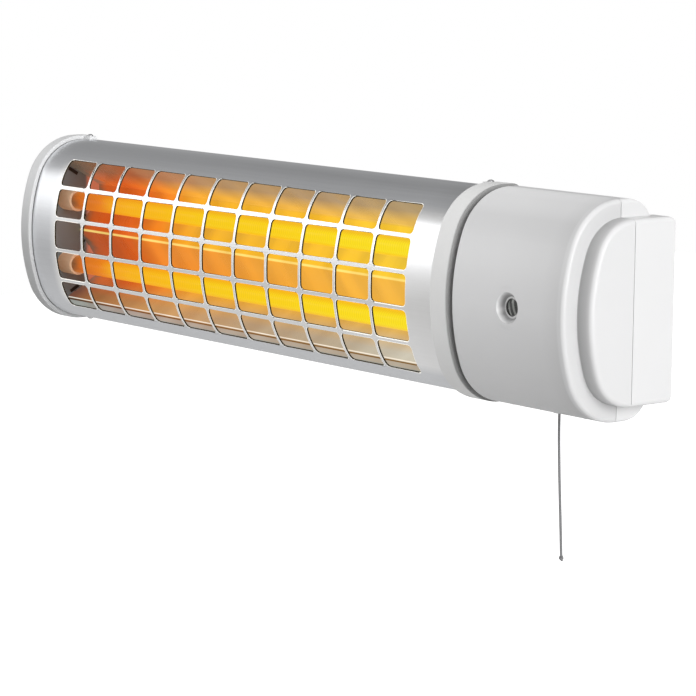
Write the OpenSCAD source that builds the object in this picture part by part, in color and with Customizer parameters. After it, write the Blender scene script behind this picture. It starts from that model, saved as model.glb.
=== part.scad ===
// Quartz wall heater: a tilting drum between a wall foot and a control housing.
// X runs along the heater, Y from the room into the wall, Z up.
// The origin is the centre of the wall screws, in the wall's plane.

/* [Drum section] */
// Height of the drum
drum_h = 123; // [110:1:130]
// Radius of the drum's front face
front_r = 110.5; // [90:0.1:180]
// Radius between the front face and the flat top or bottom
corner_r = 36; // [31:0.5:41]
// Radius between the flat top or bottom and the back
back_r = 4; // [4:0.5:8]
// Distance from the wall to the tilt axis, where the housings also split
axis_to_wall = 31; // [30:0.5:38]
// Distance from the wall to the drum's back
drum_gap = 20; // [18:0.5:21]
// Thickness of the grille's sheet
sheet_t = 1; // [0.6:0.1:1.4]

/* [Lengths] */
// Thickness of the wall foot at each end
foot_w = 12; // [11:0.5:18]
// Width of the drum's left cap
cap_w = 12; // [10:0.2:20]
// Length of sheet that shows between cap and collar
sheet_l = 432.1; // [300:0.1:700]
// Width of the drum's right collar
collar_w = 14.6; // [13:0.2:24]
// Width of the groove between the collar and the control housing
groove_w = 4.4; // [2:0.1:6]
// Length of the control housing without its foot
housing_l = 93.9; // [88:0.1:130]

/* [Grille windows] */
// Distance from one upright bar to the next
col_pitch = 34.5; // [24:0.1:50]
// Distance from one long bar to the next, along the sheet
row_pitch = 21.6; // [18:0.1:27]
// Height of the whole field of windows, along the sheet
field_h = 106.4; // [96:0.2:110]
// How far the field of windows lies off the sheet's middle, towards the control housing
field_shift = 1.5; // [-4:0.1:4]
// Least plain sheet beside the windows
side_margin = 24; // [16:1:40]
// Width of the bars
bar_w = 2.8; // [2:0.1:5]
// Radius in the corners of a window
window_r = 2.8; // [1:0.1:4]

/* [Caps and collar] */
// How far the left cap stands out from the sheet
cap_proud = 2.6; // [2:0.1:4]
// How far the collar stands out from the sheet
collar_proud = 2.6; // [2:0.1:4.6]
// Wall of the cap and of the collar's end
end_wall = 2.4; // [2:0.1:3.4]
// Rounding of the left cap's outer edge
cap_edge_r = 3.5; // [1:0.1:4.5]
// How deep the sheet sits in the cap and in the collar
sheet_seat = 8; // [5:0.2:9]
// Depth of the drum's neck below the collar, in the groove
neck_step = 3.9; // [3:0.1:6]

/* [Tilt bearing] */
// Radius of the left journal
left_journal_r = 12; // [9:0.2:14]
// Radius of the right journal, which the wires run through
right_journal_r = 16; // [13:0.2:17]
// Wall of both journals
journal_wall = 4; // [3:0.1:5]
// Thickness of the flange that keeps a journal in its bearing
journal_flange_t = 2; // [1.5:0.1:3]
// How far that flange stands out from the journal
journal_flange_h = 3; // [2:0.1:4]
// Radial running clearance in the bearings
bearing_gap = 0.05; // [0.02:0.01:0.1]
// End clearance of the moving drum
end_gap = 0.5; // [0.3:0.05:0.8]
// Furthest tilt of the drum's front downwards
tilt_max = 15; // [5:1:15]

/* [Control housing] */
// How far the housing stands out from the drum's sheet line
housing_proud = 1.7; // [1:0.1:4]
// Distance from the wall to the housing's back
housing_gap = 6; // [4.5:0.5:10]
// Radius of the housing's rear corners
housing_back_r = 20; // [9:0.5:20]
// Rounding of the housing's end
housing_edge_r = 2.6; // [1.5:0.1:9]
// Wall of the housing and the left foot
shell_wall = 2.4; // [1.8:0.1:3]
// How far the foot's outline lies inside the drum's sheet line
foot_inset = 8.6; // [6:0.1:12]
// Rounding of the foot's outer edge
foot_edge_r = 2.8; // [1.5:0.1:6]
// Radius of the foot's rear corners
foot_back_r = 4; // [2:0.5:6]
// Width of the fine groove along the seam
seam_w = 0.5; // [0.3:0.1:0.8]
// Depth of the fine groove along the seam
seam_d = 0.7; // [0.4:0.1:1]

/* [Indicator] */
// Distance from the housing's left edge to the lens
lens_from_edge = 47.4; // [44:0.1:54]
// Radius of the recess at the housing's surface
recess_r = 9.2; // [8:0.1:11]
// Depth of the recess
recess_d = 4.4; // [2.5:0.1:5]
// Outer radius of the metal ring round the lens
lens_ring_r = 6.3; // [5.5:0.1:7]
// Width of the metal ring
lens_ring_w = 1.1; // [0.7:0.1:1.6]
// Height of the lens with its ring
lens_h = 4; // [3:0.1:6]
// Radius of the indicator lamp
lamp_r = 2.6; // [2:0.1:3.4]
// Length of the indicator lamp
lamp_l = 11; // [8:0.5:14]

/* [Wall fixing] */
// Distance between the wall screws of the two feet
wall_screw_x = 530; // [500:1:536]
// Height between the wall screws of a foot
wall_screw_z = 48; // [40:1:52]
// Diameter of the wall screw holes
wall_hole_d = 4.8; // [4:0.1:6]
// Diameter of the pads round the wall screw holes
wall_pad_d = 12; // [10:0.5:16]
// Thickness of the left foot's wall flange
wall_flange_t = 3; // [2.4:0.1:3.6]

/* [Quartz tubes] */
// Height between the two tubes
tube_pitch = 44; // [40:0.5:48]
// Distance from the wall to the tubes
tube_to_wall = 52; // [49:0.5:54]
// Diameter of the tubes
tube_d = 11.5; // [10:0.1:12]
// Wall of the tubes
tube_wall = 1.1; // [0.8:0.1:1.5]
// Diameter of the ceramic caps
tube_cap_d = 15; // [13.6:0.1:16]
// Length of the ceramic caps inside the end plates
tube_cap_l = 15; // [12:0.5:20]
// Diameter of the ceramic shank through the end plate
shank_d = 10.6; // [9:0.1:11.4]
// Length of the ceramic shank behind the end plate
shank_l = 6; // [4:0.5:7]
// How deep a tube sits in its cap
tube_seat = 8; // [5:0.5:10]
// Coils of wire in each tube
coil_turns = 36; // [20:1:40]
// Radius of the coil at the middle of its wire
coil_r = 3; // [2:0.1:3.2]
// Diameter of the coil's wire
coil_wire_d = 1; // [0.8:0.1:1.4]

/* [Reflector] */
// Thickness of the reflector's sheet
reflector_t = 0.6; // [0.4:0.05:1]
// Distance from the wall to the bottom of the troughs
trough_to_wall = 25; // [24:0.2:27]
// Distance from the wall to the ridge between the tubes
ridge_to_wall = 41; // [37:0.5:43]
// Height of the trough's inner fold above the middle
fold_in_z = 24.3; // [21:0.1:26]
// Height of the trough's outer fold above the middle
fold_out_z = 30.8; // [28:0.1:34]
// Thickness of the end plates
end_plate_t = 0.8; // [0.6:0.05:1.2]
// Distance from the end of the visible sheet to an end plate
end_plate_inset = 14.3; // [12:0.1:18]
// Length of the slots that take the reflector's tabs
tab_slot_l = 7; // [5:0.5:8]
// Width of those slots
tab_slot_w = 1.5; // [1.3:0.1:2]

/* [Back plate] */
// Thickness of the drum's back plate
back_plate_t = 0.8; // [0.6:0.1:1.2]
// Width of the sheet's edge behind the back plate
back_lip = 8; // [5:0.5:10]
// Length of a vent slot
vent_l = 28; // [16:1:32]
// Height of a vent slot
vent_h = 3; // [2:0.2:4]
// Vent slots in a row
vent_count = 10; // [6:1:11]

/* [Pull switch] */
// Distance from the housing's left edge to the cord
cord_from_edge = 46.9; // [46:0.1:54]
// Diameter of the cord
cord_d = 1.6; // [1.2:0.1:2.2]
// Radius at which the cord winds on its spool
spool_wind_r = 6; // [5:0.1:7]
// Height of the spool's axis above the drum's underside
spool_lift = 19.5; // [17:0.5:22]
// Width of the spool
spool_w = 5.6; // [5:0.1:7]
// Width of the ratchet rotor
rotor_w = 3.6; // [3:0.1:5]
// Teeth of the ratchet rotor
rotor_teeth = 8; // [6:1:12]
// Wall of the switch case
switch_wall = 1.5; // [1.2:0.1:2]
// Radius of the switch's axle
axle_r = 1.5; // [1.2:0.1:2]

/* [Mains entry] */
// Distance from the housing's right edge to the cable grommet
entry_from_edge = 50.5; // [46:0.5:54]
// Distance from the housing's right edge to the middle of the terminal block
block_from_edge = 28.5; // [26:0.5:32]
// Bore of the cable grommet
cable_bore_d = 7.2; // [6:0.1:8]
// Wall of the grommet
grommet_wall = 1.6; // [1.2:0.1:2]
// Width of the terminal block
block_l = 30; // [26:1:34]

/* [Screws] */
// Diameter of the small screws' shanks
screw_d = 3; // [2.5:0.1:3.5]
// Diameter of their heads
screw_head_d = 5.6; // [5:0.1:6.5]

/* [Hidden] */
$fn = 96;

// Section of the drum
axis_y = -axis_to_wall;
half_h = drum_h / 2;
crown_z = half_h - corner_r;
front_cy = axis_y + round(1000 * sqrt(pow(front_r - corner_r, 2) - pow(crown_z, 2))) / 1000;
turn_a = atan2(crown_z, front_cy - axis_y);
turn_s = front_r * turn_a * PI / 180;
front_y = front_cy - front_r;
drum_back_y = -drum_gap;
drum_back_r = min(back_r, drum_back_y - axis_y);
housing_back_y = -housing_gap;
housing_in_r = max(housing_edge_r - shell_wall, 0.4);
reach = 1.5 * half_h;
wedge_lap = corner_r / 6;
big = 1000;
fine_fn = 360;
fit_gap = 0.05;

// Stations along the heater
total_l = 2 * foot_w + cap_w + sheet_l + collar_w + groove_w + housing_l;
left_x = -total_l / 2;
cap_x0 = left_x + foot_w;
cap_x1 = cap_x0 + cap_w;
collar_x0 = cap_x1 + sheet_l;
collar_x1 = collar_x0 + collar_w;
housing_x0 = collar_x1 + groove_w;
housing_x1 = housing_x0 + housing_l;
right_x = housing_x1 + foot_w;
sheet_x0 = cap_x1 - sheet_seat;
sheet_x1 = collar_x0 + sheet_seat;

// Grille field
cols = floor((sheet_l - 2 * side_margin + bar_w) / col_pitch);
rows = floor((field_h + bar_w) / row_pitch);
drum_cx = (cap_x1 + collar_x0) / 2;
field_cx = drum_cx + field_shift;
window_w = col_pitch - bar_w;

// Bearings
foot_inner_x = cap_x0 - end_gap;
left_flange_x = left_x + shell_wall + end_gap + journal_flange_t;
right_flange_x = housing_x0 + shell_wall + end_gap;

// Tubes and reflector
tube_y = -tube_to_wall;
tube_z = tube_pitch / 2;
left_plate_x = cap_x1 + end_plate_inset;
right_plate_x = collar_x0 - end_plate_inset;
tube_x0 = left_plate_x + tube_cap_l - tube_seat;
tube_x1 = right_plate_x - tube_cap_l + tube_seat;
terminal_l = 9;
terminal_w = 6;
terminal_t = 0.8;
terminal_left_x = left_plate_x - end_plate_t - shank_l - terminal_l;
terminal_right_x = right_plate_x + end_plate_t + shank_l + terminal_l;
lead_r = 1.2;
lead_y = axis_y + 2;
lead_end_x = right_flange_x + journal_flange_t + 0.7;
cutout_y = tube_y + 6;

// Screws at the drum's ends
tab_w = 6;
tab_l = 7.5;
tab_root = 2;
tab_t = 2.2;
tab_y = drum_back_y - 5.4;
cap_screw_r = 2.1;
cap_screw_hole_r = 1.1;

// Back plate and its rivets
vent_row = 24;
vent_inset = 15;
rivet_r = 1.5;
rivet_inset = 20;

// Indicator
lens_x = housing_x0 + lens_from_edge;
lens_boss_r = recess_r + 2;
lens_seat_y = front_y - housing_proud + recess_d;

// Switch and cord
cord_x = housing_x0 + cord_from_edge;
spool_x = cord_x - spool_wind_r;
spool_z = spool_lift - half_h;
cord_r = cord_d / 2;
spool_r = spool_wind_r + 2;
case_half = spool_r + 1 + switch_wall;
case_front_y = axis_y - spool_w / 2 - 3.4;
case_back_y = axis_y + spool_w / 2 + rotor_w + 1.2 + switch_wall;
bush_r = 3.4;
bush_flange_r = 5.2;
bush_flange_t = 1.2;
bush_lift = 0.5;
shell_bottom_z = -half_h - housing_proud;
shell_floor_z = shell_bottom_z + shell_wall;
cord_exit_z = shell_bottom_z - 0.6;
cord_sides = 8;

// Route of the free cord, from the bush down to the knot
cord_route = [
  [0, 0], [0, -3], [0, -6], [0, -9.5], [0.1, -13.5], [0.2, -17.5], [0.4, -21.5], [0.6, -25.5],
  [0.8, -29.5], [1, -33.5], [1.2, -37.5], [1.5, -41.5], [1.7, -45.5], [2, -49.5], [2.2, -53.5],
  [2.5, -57.5], [2.8, -61.5], [3, -65.5], [3.3, -69.5], [3.5, -73.5], [3.8, -78.5], [4.1, -83.5]
];
knot_r = 1.7;

// Wall screws and mains entry
screw_x = wall_screw_x / 2;
screw_z = wall_screw_z / 2;
flange_half = screw_z + wall_pad_d / 2;
entry_x = housing_x1 - entry_from_edge;
entry_z = 8;
block_x = housing_x1 - block_from_edge;
block_z = 35;
block_h = 14;
block_d = 15;
clamp_x = entry_x;
clamp_z = entry_z + 16;
clamp_half = 9;
clamp_post_h = 6;

// Friction ring, and the screws that hold the front shells on
ring_t = 1.2;
lug_xs = [housing_x0 + 15.6, housing_x1 - 16.5];
foot_screw_x = left_x + 5.7;
lug_screw_y = axis_y - 5.5;
lug_lift = 2;
lug_h = 6;
tongue_xs = [housing_x0 + 15.6, housing_x1 - 23.5];

// Colours
sheet_c = [0.76, 0.77, 0.79];
white_c = [0.92, 0.92, 0.92];
steel_c = [0.7, 0.7, 0.72];
dark_c = [0.25, 0.25, 0.27];
ceramic_c = [0.9, 0.82, 0.72];
glow_c = [1, 0.72, 0.1];
brass_c = [0.8, 0.65, 0.3];

// Solid of a flat shape in Y and Z, from x0 to x1.
module along_x(x0, x1) {
  translate([x0, 0, 0])
    rotate([90, 0, 90])
      linear_extrude(height = x1 - x0)
        children();
}

// Round bar or hole along X.
module rod_x(x0, x1, y, z, r) {
  translate([x0, y, z])
    rotate([0, 90, 0])
      cylinder(h = x1 - x0, r = r);
}

// Round bar or hole along Y.
module rod_y(y0, y1, x, z, r) {
  translate([x, y0, z])
    rotate([-90, 0, 0])
      cylinder(h = y1 - y0, r = r);
}

// Round bar or hole along Z.
module rod_z(z0, z1, x, y, r) {
  translate([x, y, z0])
    cylinder(h = z1 - z0, r = r);
}

// Tube along X.
module tube_x(x0, x1, y, z, r_out, r_in) {
  difference() {
    rod_x(x0, x1, y, z, r_out);
    rod_x(x0 - 1, x1 + 1, y, z, r_in);
  }
}

// Box from its low corner to its high corner.
module block(a, b) {
  translate(a)
    cube(b - a);
}

// Point on the line that divides front arc and corner arc.
function wedge_end(s) = [2 * axis_y - front_cy, 2 * s * crown_z];

// Wedge in front of the seam that holds the front arc.
module front_wedge() {
  polygon([[axis_y, -crown_z], [axis_y, crown_z], wedge_end(1), wedge_end(-1)]);
}

// Wedge that holds the corner arc, above or below, and laps over the front wedge where the two arcs run together.
module corner_wedge(s) {
  polygon([
    [axis_y, s * (crown_z - wedge_lap)],
    [axis_y, s * (crown_z + reach)],
    [axis_y - reach, s * (crown_z + reach)],
    wedge_end(s) - [0, s * wedge_lap]
  ]);
}

// Part of the drum's outline in front of the seam, moved out by o.
module front_outline(o) {
  intersection() {
    translate([front_cy, 0])
      circle(front_r + o, $fn = fine_fn);
    front_wedge();
  }
  for (s = [-1, 1])
    intersection() {
      translate([axis_y, s * crown_z])
        circle(corner_r + o);
      corner_wedge(s);
    }
}

// Part of the outline behind the seam, back to back_y.
module rear_outline(o, back_y, r) {
  h = half_h + o;
  translate([axis_y, -h])
    square([back_y - r - axis_y, 2 * h]);
  translate([axis_y, r - h])
    square([back_y - axis_y, 2 * (h - r)]);
  for (s = [-1, 1])
    translate([back_y - r, s * (h - r)])
      circle(r);
}

module outline(o, back_y, r) {
  front_outline(o);
  rear_outline(o, back_y, r);
}

// Outline of the drum moved out by o, with its back moved out alike.
module drum_outline(o) {
  outline(o, drum_back_y + o, drum_back_r + o);
}

// Half section of a disc of radius w whose right edge is rounded by r.
module rim(w, x0, x1, r) {
  translate([0, x0])
    square([w, x1 - r - x0]);
  translate([0, x0])
    square([w - r, x1 - x0]);
  translate([w - r, x1 - r])
    circle(r);
}

// Disc about an axis along X, with its right edge rounded.
module rim_disc(y, z, w, x0, x1, r) {
  translate([0, y, z])
    rotate([0, 90, 0])
      rotate([0, 0, 90])
        rotate_extrude($fn = w > 60 ? fine_fn : 96)
          intersection() {
            rim(w, x0, x1, r);
            translate([0, -big])
              square([big, 2 * big]);
          }
}

// Front half of a body with a rounded right end.
module front_body(o, x0, x1, r) {
  intersection() {
    rim_disc(front_cy, 0, front_r + o, x0, x1, r);
    along_x(x0 - 1, x1 + 1)
      front_wedge();
  }
  for (s = [-1, 1])
    intersection() {
      rim_disc(axis_y, s * crown_z, corner_r + o, x0, x1, r);
      along_x(x0 - 1, x1 + 1)
        corner_wedge(s);
    }
}

// Rear half of a body with a rounded right end, cut to the section given.
module rear_body(o, x0, x1, r, back_y, corner) {
  h = half_h + o;
  intersection() {
    translate([0, back_y + 1, 0])
      rotate([90, 0, 0])
        linear_extrude(height = back_y + 1 - axis_y)
          union() {
            translate([x0, -h - 1])
              square([x1 - r - x0, 2 * h + 2]);
            translate([x0, r - h])
              square([x1 - x0, 2 * (h - r)]);
            for (s = [-1, 1])
              translate([x1 - r, s * (h - r)])
                circle(r);
          }
    along_x(x0 - 1, x1 + 1)
      rear_outline(o, back_y, corner);
  }
}

// Rear half whose right end is rounded towards the back too.
module end_rear(o, x0, x1, r, back_y, corner) {
  h = half_h + o + 1;
  intersection() {
    rear_body(o, x0, x1, r, back_y, corner);
    translate([0, 0, -h])
      linear_extrude(height = 2 * h)
        union() {
          translate([x0 - 1, axis_y - 1])
            square([x1 - r - x0 + 1, back_y - axis_y + 2]);
          translate([x0 - 1, axis_y - 1])
            square([x1 - x0 + 2, back_y - r - axis_y + 1]);
          translate([x1 - r, back_y - r])
            circle(r);
        }
  }
}

// Whole body of the drum's kind with a rounded right end.
module end_body(o, x0, x1, r, back_y, corner) {
  front_body(o, x0, x1, r);
  end_rear(o, x0, x1, r, back_y, corner);
}

// Fine groove round a shell's outline where two shells meet.
module seam_groove(o, x0, x1) {
  h = half_h + o;
  difference() {
    block([x0 - 1, axis_y - seam_w / 2, -h - 1], [x1 + 1, axis_y + seam_w / 2, h + 1]);
    block([x0 - 2, axis_y - seam_w, seam_d - h], [x1 - seam_d, axis_y + seam_w, h - seam_d]);
  }
}

// Plain rectangle with round corners, centred.
module rounded_rect(w, h, r) {
  square([w - 2 * r, h], center = true);
  square([w, h - 2 * r], center = true);
  for (u = [-1, 1], v = [-1, 1])
    translate([u * (w / 2 - r), v * (h / 2 - r)])
      circle(r, $fn = 32);
}

// Point of the sheet at s along its section, measured from the middle.
function sheet_point(s, o = 0) =
  let(a = abs(s) <= turn_s ? abs(s) / front_r * 180 / PI : turn_a + (abs(s) - turn_s) / corner_r * 180 / PI)
  abs(s) <= turn_s
    ? [front_cy - (front_r + o) * cos(a), sign(s) * (front_r + o) * sin(a)]
    : [axis_y - (corner_r + o) * cos(a), sign(s) * (crown_z + (corner_r + o) * sin(a))];

// Height of the edge between row i and the next one, along the sheet.
function row_edge(i) = i == 0 ? -field_h / 2 : i == rows ? field_h / 2 : (i - rows / 2) * row_pitch;

// Cutters of one row of windows.
module window_row(i) {
  low = sheet_point(row_edge(i) + (i == 0 ? 0 : bar_w / 2));
  high = sheet_point(row_edge(i + 1) - (i == rows - 1 ? 0 : bar_w / 2));
  run = high - low;
  depth = sheet_t + 3;
  for (k = [0:cols - 1])
    translate([field_cx + (k - (cols - 1) / 2) * col_pitch, (low[0] + high[0]) / 2, (low[1] + high[1]) / 2])
      rotate([atan2(run[1], run[0]), 0, 0])
        translate([0, 0, -depth])
          linear_extrude(height = 2 * depth)
            rounded_rect(window_w, norm(run), window_r);
}

// Ring of n points round p, square to the direction t.
function ring_at(p, t, ref, r, n) =
  let(d = t / norm(t), u0 = cross(d, ref), u = u0 / norm(u0), v = cross(d, u))
  [for (k = [0:n - 1]) p + r * (cos(360 * k / n) * u + sin(360 * k / n) * v)];

function along(pts, i) = pts[min(i + 1, len(pts) - 1)] - pts[max(i - 1, 0)];

// Round tube of n sides along the points; refs gives a side direction at each point.
module swept(pts, refs, r, n) {
  m = len(pts);
  rings = [for (i = [0:m - 1]) ring_at(pts[i], along(pts, i), refs[i], r, n)];
  sides = [
    for (i = [0:m - 2], k = [0:n - 1])
      let(a = i * n + k, b = i * n + (k + 1) % n)
      for (f = [[a, b, b + n], [a, b + n, a + n]]) f
  ];
  first = [for (k = [1:n - 2]) [0, k + 1, k]];
  last = [for (k = [1:n - 2]) [(m - 1) * n, (m - 1) * n + k, (m - 1) * n + k + 1]];
  polyhedron(points = [for (q = rings) for (p = q) p], faces = concat(sides, first, last));
}

// Bent sheet of the drum, with the field of windows.
module grille_shell() {
  color(sheet_c)
    difference() {
      along_x(sheet_x0, sheet_x1)
        difference() {
          drum_outline(0);
          drum_outline(-sheet_t);
          translate([drum_back_y - 2 * sheet_t, -(half_h - drum_back_r - back_lip)])
            square([4 * sheet_t, 2 * (half_h - drum_back_r - back_lip)]);
        }
      for (i = [0:rows - 1])
        window_row(i);
      for (s = [-1, 1], x = [cap_x1 + tab_l / 2, collar_x0 - tab_l / 2])
        translate([x, tab_y, s * half_h])
          cylinder(h = 6 * sheet_t, r = cap_screw_hole_r, center = true);
      rivet_holes();
    }
}

// Tabs over the sheet that take a screw each, from x0 to x1. They root in the ring that ends at x0 or x1.
module screw_tabs(x0, x1, root_side) {
  for (s = [-1, 1])
    difference() {
      block(
        [x0 - (root_side < 0 ? tab_root : 0), tab_y - tab_w / 2, s > 0 ? half_h + fit_gap : -half_h - tab_t],
        [x1 + (root_side > 0 ? tab_root : 0), tab_y + tab_w / 2, s > 0 ? half_h + tab_t : -half_h - fit_gap]
      );
      translate([(x0 + x1) / 2, tab_y, s * half_h])
        cylinder(h = 6 * tab_t, r = cap_screw_hole_r, center = true);
    }
}

// Rib inside the sheet's end.
module socket_rib(x0, x1) {
  along_x(x0, x1)
    difference() {
      drum_outline(-sheet_t - fit_gap);
      drum_outline(-sheet_t - fit_gap - 2);
    }
}

// Hollow journal from x0 to x1 with a keeping flange that starts at flange_x.
module journal(x0, x1, flange_x, r) {
  difference() {
    union() {
      rod_x(x0, x1, axis_y, 0, r);
      rod_x(flange_x, flange_x + journal_flange_t, axis_y, 0, r + journal_flange_h);
    }
    rod_x(x0 - 1, x1 + 1, axis_y, 0, r - journal_wall);
  }
}

module left_cap() {
  color(white_c) {
    difference() {
      mirror([1, 0, 0])
        end_body(cap_proud, -cap_x1, -cap_x0, cap_edge_r, drum_back_y + cap_proud, drum_back_r + cap_proud);
      along_x(cap_x0 + end_wall, cap_x1 + 1)
        drum_outline(fit_gap);
      rod_x(cap_x0 - 1, cap_x0 + end_wall + 1, axis_y, 0, left_journal_r - journal_wall);
    }
    socket_rib(cap_x0 + end_wall, cap_x1 - 1);
    journal(left_flange_x - journal_flange_t, cap_x0, left_flange_x - journal_flange_t, left_journal_r);
    screw_tabs(cap_x1, cap_x1 + tab_l, -1);
  }
}

module right_collar() {
  neck_x = housing_x0 - end_gap;
  neck = collar_proud - neck_step;
  color(white_c) {
    difference() {
      union() {
        along_x(collar_x0, collar_x1)
          drum_outline(collar_proud);
        along_x(collar_x1, neck_x)
          drum_outline(neck);
      }
      along_x(collar_x0 - 1, collar_x1 - end_wall)
        drum_outline(fit_gap);
      along_x(collar_x1 - end_wall - 1, neck_x - end_wall)
        drum_outline(min(neck, 0) - end_wall);
      rod_x(neck_x - end_wall - 1, neck_x + 1, axis_y, 0, right_journal_r - journal_wall);
    }
    socket_rib(collar_x0 + 1, collar_x1 - end_wall);
    journal(neck_x, right_flange_x + journal_flange_t, right_flange_x, right_journal_r);
    screw_tabs(collar_x0 - tab_l, collar_x0, 1);
  }
}

// Places along the drum where the back plate is riveted to the sheet's edges.
rivet_xs = [for (k = [0:4]) drum_cx + (k - 2) * (sheet_l - 2 * rivet_inset) / 4];
rivet_z = half_h - drum_back_r - back_lip / 2;

module rivet_holes() {
  for (x = rivet_xs, s = [-1, 1])
    rod_y(drum_back_y - 10, drum_back_y + 10, x, s * rivet_z, rivet_r + 0.05);
}

module back_plate() {
  front = drum_back_y - sheet_t - back_plate_t;
  pitch = (sheet_l - 2 * vent_inset) / vent_count;
  color(steel_c)
    difference() {
      block(
        [cap_x1 - 0.6, front, -half_h + drum_back_r + 0.5],
        [collar_x0 + 0.6, drum_back_y - sheet_t, half_h - drum_back_r - 0.5]
      );
      rivet_holes();
      for (k = [0:vent_count - 1], row = [-1, 0, 1])
        translate([drum_cx + (k - (vent_count - 1) / 2) * pitch, front - 1, row * vent_row])
          rotate([-90, 0, 0])
            linear_extrude(height = back_plate_t + 2)
              rounded_rect(vent_l, vent_h, vent_h / 2 - 0.2);
    }
}

module back_rivets() {
  color(steel_c)
    for (x = rivet_xs, s = [-1, 1]) {
      inner = drum_back_y - sheet_t - back_plate_t;
      rod_y(inner, drum_back_y, x, s * rivet_z, rivet_r);
      rod_y(inner - 1, inner, x, s * rivet_z, 1.6 * rivet_r);
      rod_y(drum_back_y, drum_back_y + 1, x, s * rivet_z, 2 * rivet_r);
    }
}

// Points of the reflector's front side, from the top edge to the bottom edge.
edge_a = turn_a + (field_h / 2 - turn_s + 0.6) / corner_r * 180 / PI;
edge_r = corner_r - sheet_t - 0.6;
reflector_top = [
  [axis_y - edge_r * cos(edge_a), crown_z + edge_r * sin(edge_a)],
  [-trough_to_wall, fold_out_z],
  [-trough_to_wall, fold_in_z]
];
reflector_line = concat(
  reflector_top,
  [[-ridge_to_wall, 0]],
  [for (i = [2:-1:0]) [reflector_top[i][0], -reflector_top[i][1]]]
);

function unit(v) = v / norm(v);

// Side of the run from a to b that faces the wall.
function wall_side(a, b) = let(d = unit(b - a)) [-d[1], d[0]];

// Point i of a bent line moved sideways by t, mitred between its two runs.
function mitred(pts, i, t) =
  let(
    n1 = wall_side(pts[max(i - 1, 0)], pts[max(i, 1)]),
    n2 = wall_side(pts[min(i, len(pts) - 2)], pts[min(i + 1, len(pts) - 1)])
  )
  pts[i] + t * (n1 + n2) / (1 + n1 * n2);

module reflector_section(low, high) {
  n = len(reflector_line);
  polygon(concat(
    [for (i = [0:n - 1]) mitred(reflector_line, i, low)],
    [for (i = [n - 1:-1:0]) mitred(reflector_line, i, high)]
  ));
}

// Places of the tabs on the reflector's runs: a run's number and how far along it lies.
tab_places = [[0, 0.27], [2, 0.63], [3, 0.36], [5, 0.73]];

// Flat square round each tab, as wide as given and as long as given.
module tab_marks(l, w, shift) {
  for (p = tab_places) {
    a = reflector_line[p[0]];
    b = reflector_line[p[0] + 1];
    c = a + p[1] * (b - a) + shift * wall_side(a, b);
    translate(c)
      rotate(atan2(b[1] - a[1], b[0] - a[0]))
        square([l, w], center = true);
  }
}

module reflector() {
  tab = tab_slot_l - 1;
  color([0.85, 0.85, 0.86]) {
    along_x(left_plate_x, right_plate_x)
      reflector_section(0, reflector_t);
    for (x = [left_plate_x - end_plate_t - 1.5, right_plate_x - 1])
      along_x(x, x + end_plate_t + 2.5)
        tab_marks(tab, reflector_t - 0.1, reflector_t / 2);
  }
}

module end_plate(x) {
  color([0.6, 0.55, 0.52])
    along_x(x, x + end_plate_t)
      difference() {
        intersection() {
          drum_outline(-sheet_t - 0.3);
          translate([drum_back_y - sheet_t - back_plate_t - reach, -reach])
            square([reach, 2 * reach]);
        }
        for (s = [-1, 1])
          translate([tube_y, s * tube_z])
            circle(shank_d / 2 + 0.1);
        translate([lead_y, 0])
          circle(lead_r + 0.5);
        tab_marks(tab_slot_l, tab_slot_w, reflector_t / 2);
      }
}

module left_end_plate() {
  end_plate(left_plate_x - end_plate_t);
}

module right_end_plate() {
  end_plate(right_plate_x);
}

// Quartz tube above (s = 1) or below (s = -1).
module quartz_tube(s) {
  color(glow_c)
    tube_x(tube_x0, tube_x1, tube_y, s * tube_z, tube_d / 2, tube_d / 2 - tube_wall);
}

module upper_tube() {
  quartz_tube(1);
}

module lower_tube() {
  quartz_tube(-1);
}

// Line of a coil: straight tails at both ends and the turns between them.
coil_steps = 8;
coil_x0 = tube_x0 + 6;
coil_x1 = tube_x1 - 6;
coil_n = coil_turns * coil_steps;

function coil_grow(i) = min(1, i / 5, (coil_n - i) / 5);

function coil_angle(i) = 360 * i / coil_steps;

function coil_line(s) = concat(
  [[terminal_left_x + terminal_l, tube_y, s * tube_z], [coil_x0 - 3, tube_y, s * tube_z]],
  [
    for (i = [0:coil_n])
      [
        coil_x0 + (coil_x1 - coil_x0) * i / coil_n,
        tube_y + coil_r * coil_grow(i) * cos(coil_angle(i)),
        s * tube_z + coil_r * coil_grow(i) * sin(coil_angle(i))
      ]
  ],
  [[coil_x1 + 3, tube_y, s * tube_z], [terminal_right_x - terminal_l, tube_y, s * tube_z]]
);

function coil_sides() = concat(
  [[0, 1, 0], [0, 1, 0]],
  [for (i = [0:coil_n]) [0, cos(coil_angle(i)), sin(coil_angle(i))]],
  [[0, 1, 0], [0, 1, 0]]
);

// Least distance between points of a line that lie half a turn to one turn and a half apart.
function self_gap(pts, step, d) = min([
  for (i = [0:len(pts) - 1 - step * 3 / 2], j = [step / 2:step * 3 / 2]) norm(pts[i] - pts[i + j])
]) - d;

module heating_coil(s) {
  line = coil_line(s);
  echo(coil = s, least_self_gap = self_gap(line, coil_steps, coil_wire_d));
  color([1, 0.6, 0.2])
    swept(line, coil_sides(), coil_wire_d / 2, 6);
}

module upper_coil() {
  heating_coil(1);
}

module lower_coil() {
  heating_coil(-1);
}

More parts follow.
